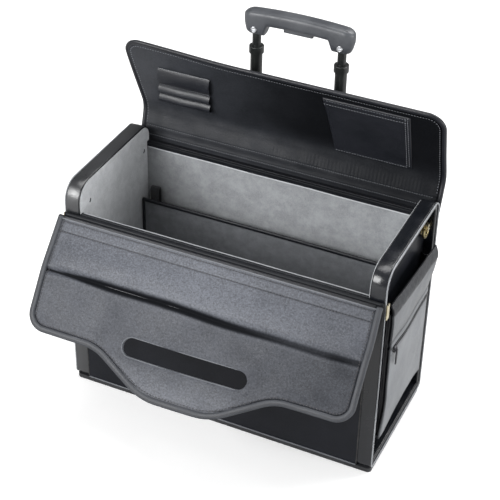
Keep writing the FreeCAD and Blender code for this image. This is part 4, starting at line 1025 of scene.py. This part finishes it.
def build_pocket(side, word):
    """A baggy pocket on a case end: face, padded hem, pleated gusset, zip and stitching."""
    out = (side, 0, 0)
    u, v = np.meshgrid(np.linspace(0, 1, 90), np.linspace(0, 1, 150))
    y, z = pocket_point(u, v)
    off = z - zip_height(y)
    # Painted shade: darker over the flared strip above the zip, in the zip seam grooves, and along the
    # turned-in front edge and foot.
    tone = 0.30 * ease(-2, 16, off) + 0.8 * dent(off - 1, 1.0) + 0.6 * dent(off - 12.5, 0.9)
    tone += 0.5 * (1 - ease(0.0, 0.025, u)) + 0.4 * (1 - ease(0.0, 0.02, v))
    points = track(side * pocket_face(y, z), y, z)
    verts, faces, tone = sheet(points, out, 1.2, 1.2, None, np.clip(tone, 0, 1))
    panel = piece("pocket_face_" + word, verts, faces, POCKET, "case",
                  (word + "_pocket_panel",), "pocket_fabric")
    mark(panel, tone)

    ys, _ = pocket_point(np.linspace(0, 1, 100), 1.0)
    tall, along = np.meshgrid(np.linspace(-1.5, HEM_HEIGHT, 18), ys, indexing="ij")
    lean_in = 3.6 * ease(0, HEM_HEIGHT, tall)
    puff = 0.9 * np.sin(math.pi * np.clip(tall / HEM_HEIGHT, 0, 1)) + 0.35 * ripples(along, tall, 63, 30, 8)
    points = track(side * (pocket_face(along, POCKET_TOP) - lean_in + puff), along, POCKET_TOP + tall)
    verts, faces = sheet(points, out, 1.7, 1.7)
    piece("pocket_hem_" + word, verts, faces, HEM, "case", slot="dark_fabric")

    gusset, back = Pile(), 213.4
    for end, limit in ((-1, 0.0), (1, 1.0)):
        vv, tt = np.meshgrid(np.linspace(0.01, 0.985, 90), np.linspace(0, 1, 25), indexing="ij")
        yy, zz = pocket_point(limit, vv)
        xx = back + (pocket_face(yy, zz) - 0.6 - back) * tt
        pleat = 3.2 * np.abs(np.sin(tt * 2 * math.pi)) + 0.4 * ripples(zz, tt * 20, 71, 60, 15)
        gusset.add(*sheet(track(side * xx, yy - end * (1.0 + pleat), zz), (0, end, 0), 0.6, 0.6))
    uu, tt = np.meshgrid(np.linspace(0.01, 0.99, 60), np.linspace(0, 1, 17), indexing="ij")
    yy, zz = pocket_point(uu, 0.0)
    zz = zz + 1.5 + 2.5 * np.abs(np.sin(tt * 2 * math.pi))
    gusset.add(*sheet(track(side * (back + (225.5 - back) * tt), yy, zz), (0, 0, -1), 0.6, 0.6))
    gusset.make("pocket_gusset_" + word, BLACK_SOFT, "case", ("pocket_gussets",), "dark_fabric")

    build_zip(side, word)
    threads = Pile()
    ys = np.linspace(POCKET_FRONT + 4, POCKET_REAR - 4, 100)
    for level in (zip_height(ys) - 7.5, zip_height(ys) + 15.5, POCKET_TOP - 3.0):
        stitches(threads, track(side * (pocket_face(ys, level) + 1.2), ys, level), out, 3.6, 2.4, 0.42)
    threads.make("pocket_stitching_" + word, DARK_THREAD, "case")


def build_zip(side, word):
    """Zip tape with two rows of teeth under a folded strip, and the slider with its pull."""
    def block(pile, low, high, radius, steps):
        verts, faces = rounded_box(low, high, radius, steps)
        pile.add([(side * a, b, c) for a, b, c in verts], faces)

    ys = np.linspace(POCKET_FRONT + 6, POCKET_REAR - 6, 100)
    face = pocket_face(ys, zip_height(ys) - 2.5) + 1.0
    bar("zip_tape_" + word, track(side * (face + 0.1), ys, zip_height(ys) - 1.5), (side, 0, 0),
        oval(5.0, 1.1, 12, 3.5), TAPE, "case", ("pocket_zip_tapes",), "dark_fabric")
    teeth = Pile()
    for k, y in enumerate(np.arange(ys[0] + 2, ys[-1] - 2, 1.7)):
        x = np.interp(y, ys, face)
        z = zip_height(y) - 1.5 + (0.5 if k % 2 else -0.5)
        block(teeth, (x + 0.4, y - 0.6, z - 1.1), (x + 1.3, y + 0.6, z + 1.1), 0.35, 1)
    teeth.make("zip_teeth_" + word, MOULDED, "case")
    slider, y, z = Pile(), POCKET_FRONT + 9, POCKET_ZIP
    block(slider, (228.8, y, z - 4), (233.2, y + 9, z + 4), 1.5, 4)
    block(slider, (232.6, y + 2.6, z - 2.5), (234.6, y + 6.4, z + 2.5), 0.9, 4)
    block(slider, (233.3, y + 1.9, z - 24), (235.0, y + 7.1, z - 0.5), 0.8, 4)
    slider.make("zip_slider_" + word, DARK_METAL, word + "_zip", (word + "_zip_slider",), "steel_pin", 40)


# --- handles ---

def build_grip():
    """The pull-handle grip: an arched bar with domed ends and a boss over each tube."""
    half, dome, low, high, foot, y, tube = 79.0, 14.0, 495.0, 516.6, 480.5, 142.0, 61.5
    bend = np.linspace(0, math.pi / 2, 14)
    xs = np.concatenate([-half + dome * (1 - np.cos(bend)), np.linspace(-half + dome, half - dome, 90)[1:-1],
                         half - dome * (1 - np.cos(bend[::-1]))])
    section, rings = oval(2, 2, 44, 3.2), []
    for x in xs:
        close = max(0.0, (abs(x) - (half - dome)) / dome)
        taper = math.sqrt(max(1 - close * close, 0.0)) * 0.999 + 0.001
        tall = (high - low) / 2 * (0.30 + 0.70 * taper)
        middle = (low + high) / 2 + grip_arch(x, half)
        boss = 1 - float(ease(0, 6.5, max(abs(abs(x) - tube) - 12.0, 0)))
        reach = tall + boss * max(middle - tall - foot, 0) * (0.25 + 0.75 * taper)
        ring_y = y + section[:, 0] * 11.3 * taper
        ring_z = middle + section[:, 1] * np.where(section[:, 1] < 0, reach, tall)
        rings.append(track(x, ring_y, ring_z))
    piece("pull_grip_shell", *skin(np.array(rings)), GRIP, "handle_stage_three", ("trolley_grip",),
          "grip_plastic", 40)
    along = np.linspace(-half + 9, half - 9, 90)
    seam = track(along, y - 6.5, high - 1.15 + grip_arch(along, half))
    bar("pull_grip_seam", seam, (0, 0, 1), oval(1.0, 1.0, 8), MOULDED, "handle_stage_three")
    collars = Pile()
    turn = np.linspace(0, 2 * math.pi, 24, endpoint=False)
    for centre in (-tube, tube):
        loop = track(centre + 3.5 * np.cos(turn), 130.9, 490 + 3.5 * np.sin(turn))
        collars.add(*sweep(loop, (0, -1, 0), oval(1.6, 1.8, 8), closed=True))
    collars.make("grip_screw_rings", STEEL, "handle_stage_three")


def grip_arch(x, half):
    """How far the grip's bar rises at x over its mean height."""
    return 4.0 * (1 - (x / half) ** 2) - 2.0


def build_carry_handle():
    """The padded carry handle on the rear flap's outer face, with its sewn seam."""
    t = np.linspace(-1, 1, 90)
    s, lift = REAR_CREASE + 75, -(2.5 + 9.0 + 6.0 * (1 - np.abs(t) ** 2.6))
    normal = -rear.normal(s)
    swell = 0.72 + 0.28 * ease(0, 0.35, 1 - np.abs(t))
    bar("carry_handle_pad", rear.at(66 * t, s, lift), normal, oval(13.5, 10.5, 20, 2.3), BLACK, "rear_flap",
        ("carry_handle_grip",), "black_leather", scale=swell)
    threads = Pile()
    for offset in (-4.2, 4.2):
        line = rear.at(66 * t, s + offset * swell, lift - 3.9 * swell)[6:-6]
        stitches(threads, line, normal, 3.6, 2.4, 0.42)
    threads.make("carry_handle_stitching", GREY_THREAD, "rear_flap")


# --- carried-over parts ---

def dress_cad():
    finishes = (
        (WALL, 1.2, ("front_wall", "rear_wall")),
        (BLACK, 0.8, ("end_boards",)),
        (FELT, 0.4, ("end_linings",)),
        # Painted shade: the wall linings take the darker copy of the felt.
        (WALL_FELT, 0.4, ("wall_linings",)),
        (MOULDED, 0.8, ("base_board", "base_skid_frame", "trolley_top_bracket", "trolley_base_frame")),
        (WELT, 0.0, ("front_top_rail", "rear_top_rail")),
        (NICKEL, 0.3, ("left_lock_body", "right_lock_body", "left_lock_bolt", "right_lock_bolt",
                       "lock_hasp_plates", "carry_handle_ends")),
        (BRASS, 0.3, ("end_fitting_plates",)),
        (OLD_BRASS, 0.0, ("left_d_ring", "right_d_ring")),
        (BRASS, 0.15, tuple(w + "_lock_" + p + "_dial" for w in ("left", "right")
                            for p in ("inner", "middle", "outer"))),
        (TUBE, 0.0, ("trolley_outer_tubes", "stage_one_tubes", "stage_two_tubes", "stage_three_tubes")),
        (STEEL, 0.2, ("grip_screws", "wheel_axles")),
        (GRIP, 0.0, ("release_button",)),
        (MOULDED, 0.5, ("left_wheel_hub", "right_wheel_hub")),
        (RUBBER, 0.0, ("left_tyre", "right_tyre")),
    )
    for material, bevel, nodes in finishes:
        for node in nodes:
            dress(node, material, bevel)


# --- stage ---

def build_stage():
    bpy.ops.mesh.primitive_plane_add(size=40, location=(0, 0, 0))
    floor = bpy.context.object
    floor.name = "studio_floor"
    p = Paint("studio_white")
    pale = p.mix(p.noise(400, 2.0), (0.90, 0.90, 0.90), (0.92, 0.92, 0.92))
    # Painted light: the floor glows, weakly near the case and almost white further out; the camera sees it
    # pale, while light and reflections see a darker grey.
    direct = p.node("ShaderNodeLightPath").outputs["Is Camera Ray"]
    p.set(Base_Color=p.mix(direct, (0.36, 0.36, 0.36), pale))
    distance = p.node("ShaderNodeVectorMath", operation="LENGTH")
    p.link(p.coords, distance.inputs[0])
    p.set(Roughness=0.7, Emission_Color=(1, 1, 1, 1),
          Emission_Strength=p.curve(distance.outputs["Value"], 0.9, 2.8, 0.22, 0.95))
    floor.data.materials.append(p.material)

    world = bpy.data.worlds.new("studio")
    bpy.context.scene.world = world
    world.use_nodes = True
    nodes, links = world.node_tree.nodes, world.node_tree.links
    sky = nodes["Background"]
    sky.inputs[0].default_value = (1, 1, 1, 1)
    strength = nodes.new("ShaderNodeMapRange")
    strength.inputs["To Min"].default_value = 0.28
    strength.inputs["To Max"].default_value = 1.0
    links.new(nodes.new("ShaderNodeLightPath").outputs["Is Camera Ray"], strength.inputs["Value"])
    links.new(strength.outputs["Result"], sky.inputs[1])

    def lamp(name, place, aim, size, power):
        light = bpy.data.lights.new(name, "AREA")
        light.shape = "RECTANGLE"
        light.size, light.size_y = size
        light.energy = power
        thing = bpy.data.objects.new(name, light)
        bpy.context.scene.collection.objects.link(thing)
        thing.location = place
        thing.rotation_euler = (Vector(aim) - Vector(place)).to_track_quat("-Z", "Y").to_euler()

    lamp("key_softbox", (-1.2, -2.15, 1.45), (0, 0, 0.25), (1.7, 1.3), 84)
    lamp("top_softbox", (-0.2, 0.1, 2.6), (0, 0, 0.2), (1.4, 1.0), 24)
    lamp("back_softbox", (1.0, 1.3, 2.2), (0, -0.1, 0.0), (1.6, 1.2), 55)
    lamp("side_softbox", (2.3, -0.3, 0.55), (0.2, 0, 0.15), (1.0, 0.8), 30)


def build_camera():
    azimuth, elevation, roll = math.radians(24.47), math.radians(35.34), math.radians(1.16)
    back = Vector((math.sin(azimuth) * math.cos(elevation), -math.cos(azimuth) * math.cos(elevation),
                   math.sin(elevation)))
    right = (-back).cross(Vector((0, 0, 1))).normalized()
    up = right.cross(-back)
    side = right * math.cos(roll) + up * math.sin(roll)
    top = -right * math.sin(roll) + up * math.cos(roll)
    camera = bpy.data.objects.new("camera", bpy.data.cameras.new("camera"))
    bpy.context.scene.collection.objects.link(camera)
    camera.data.sensor_width = 36
    camera.data.lens = 102.1
    camera.data.clip_end = 50
    place = Vector((0.6449, -1.4184, 1.3392))
    camera.matrix_world = Matrix([(*row,) for row in zip(side, top, back, place)] + [(0, 0, 0, 1)])
    bpy.context.scene.camera = camera
    bpy.context.scene.view_settings.view_transform = "Standard"


for build in (build_front_flap, build_rear_flap, build_hinge_welts, build_pen_loops, build_card_pocket,
              build_ends, build_felt, build_divider, build_strap):
    build()
for pocket_side, pocket_word in SIDES:
    build_pocket(pocket_side, pocket_word)
for build in (build_grip, build_carry_handle, dress_cad, build_stage, build_camera):
    build()
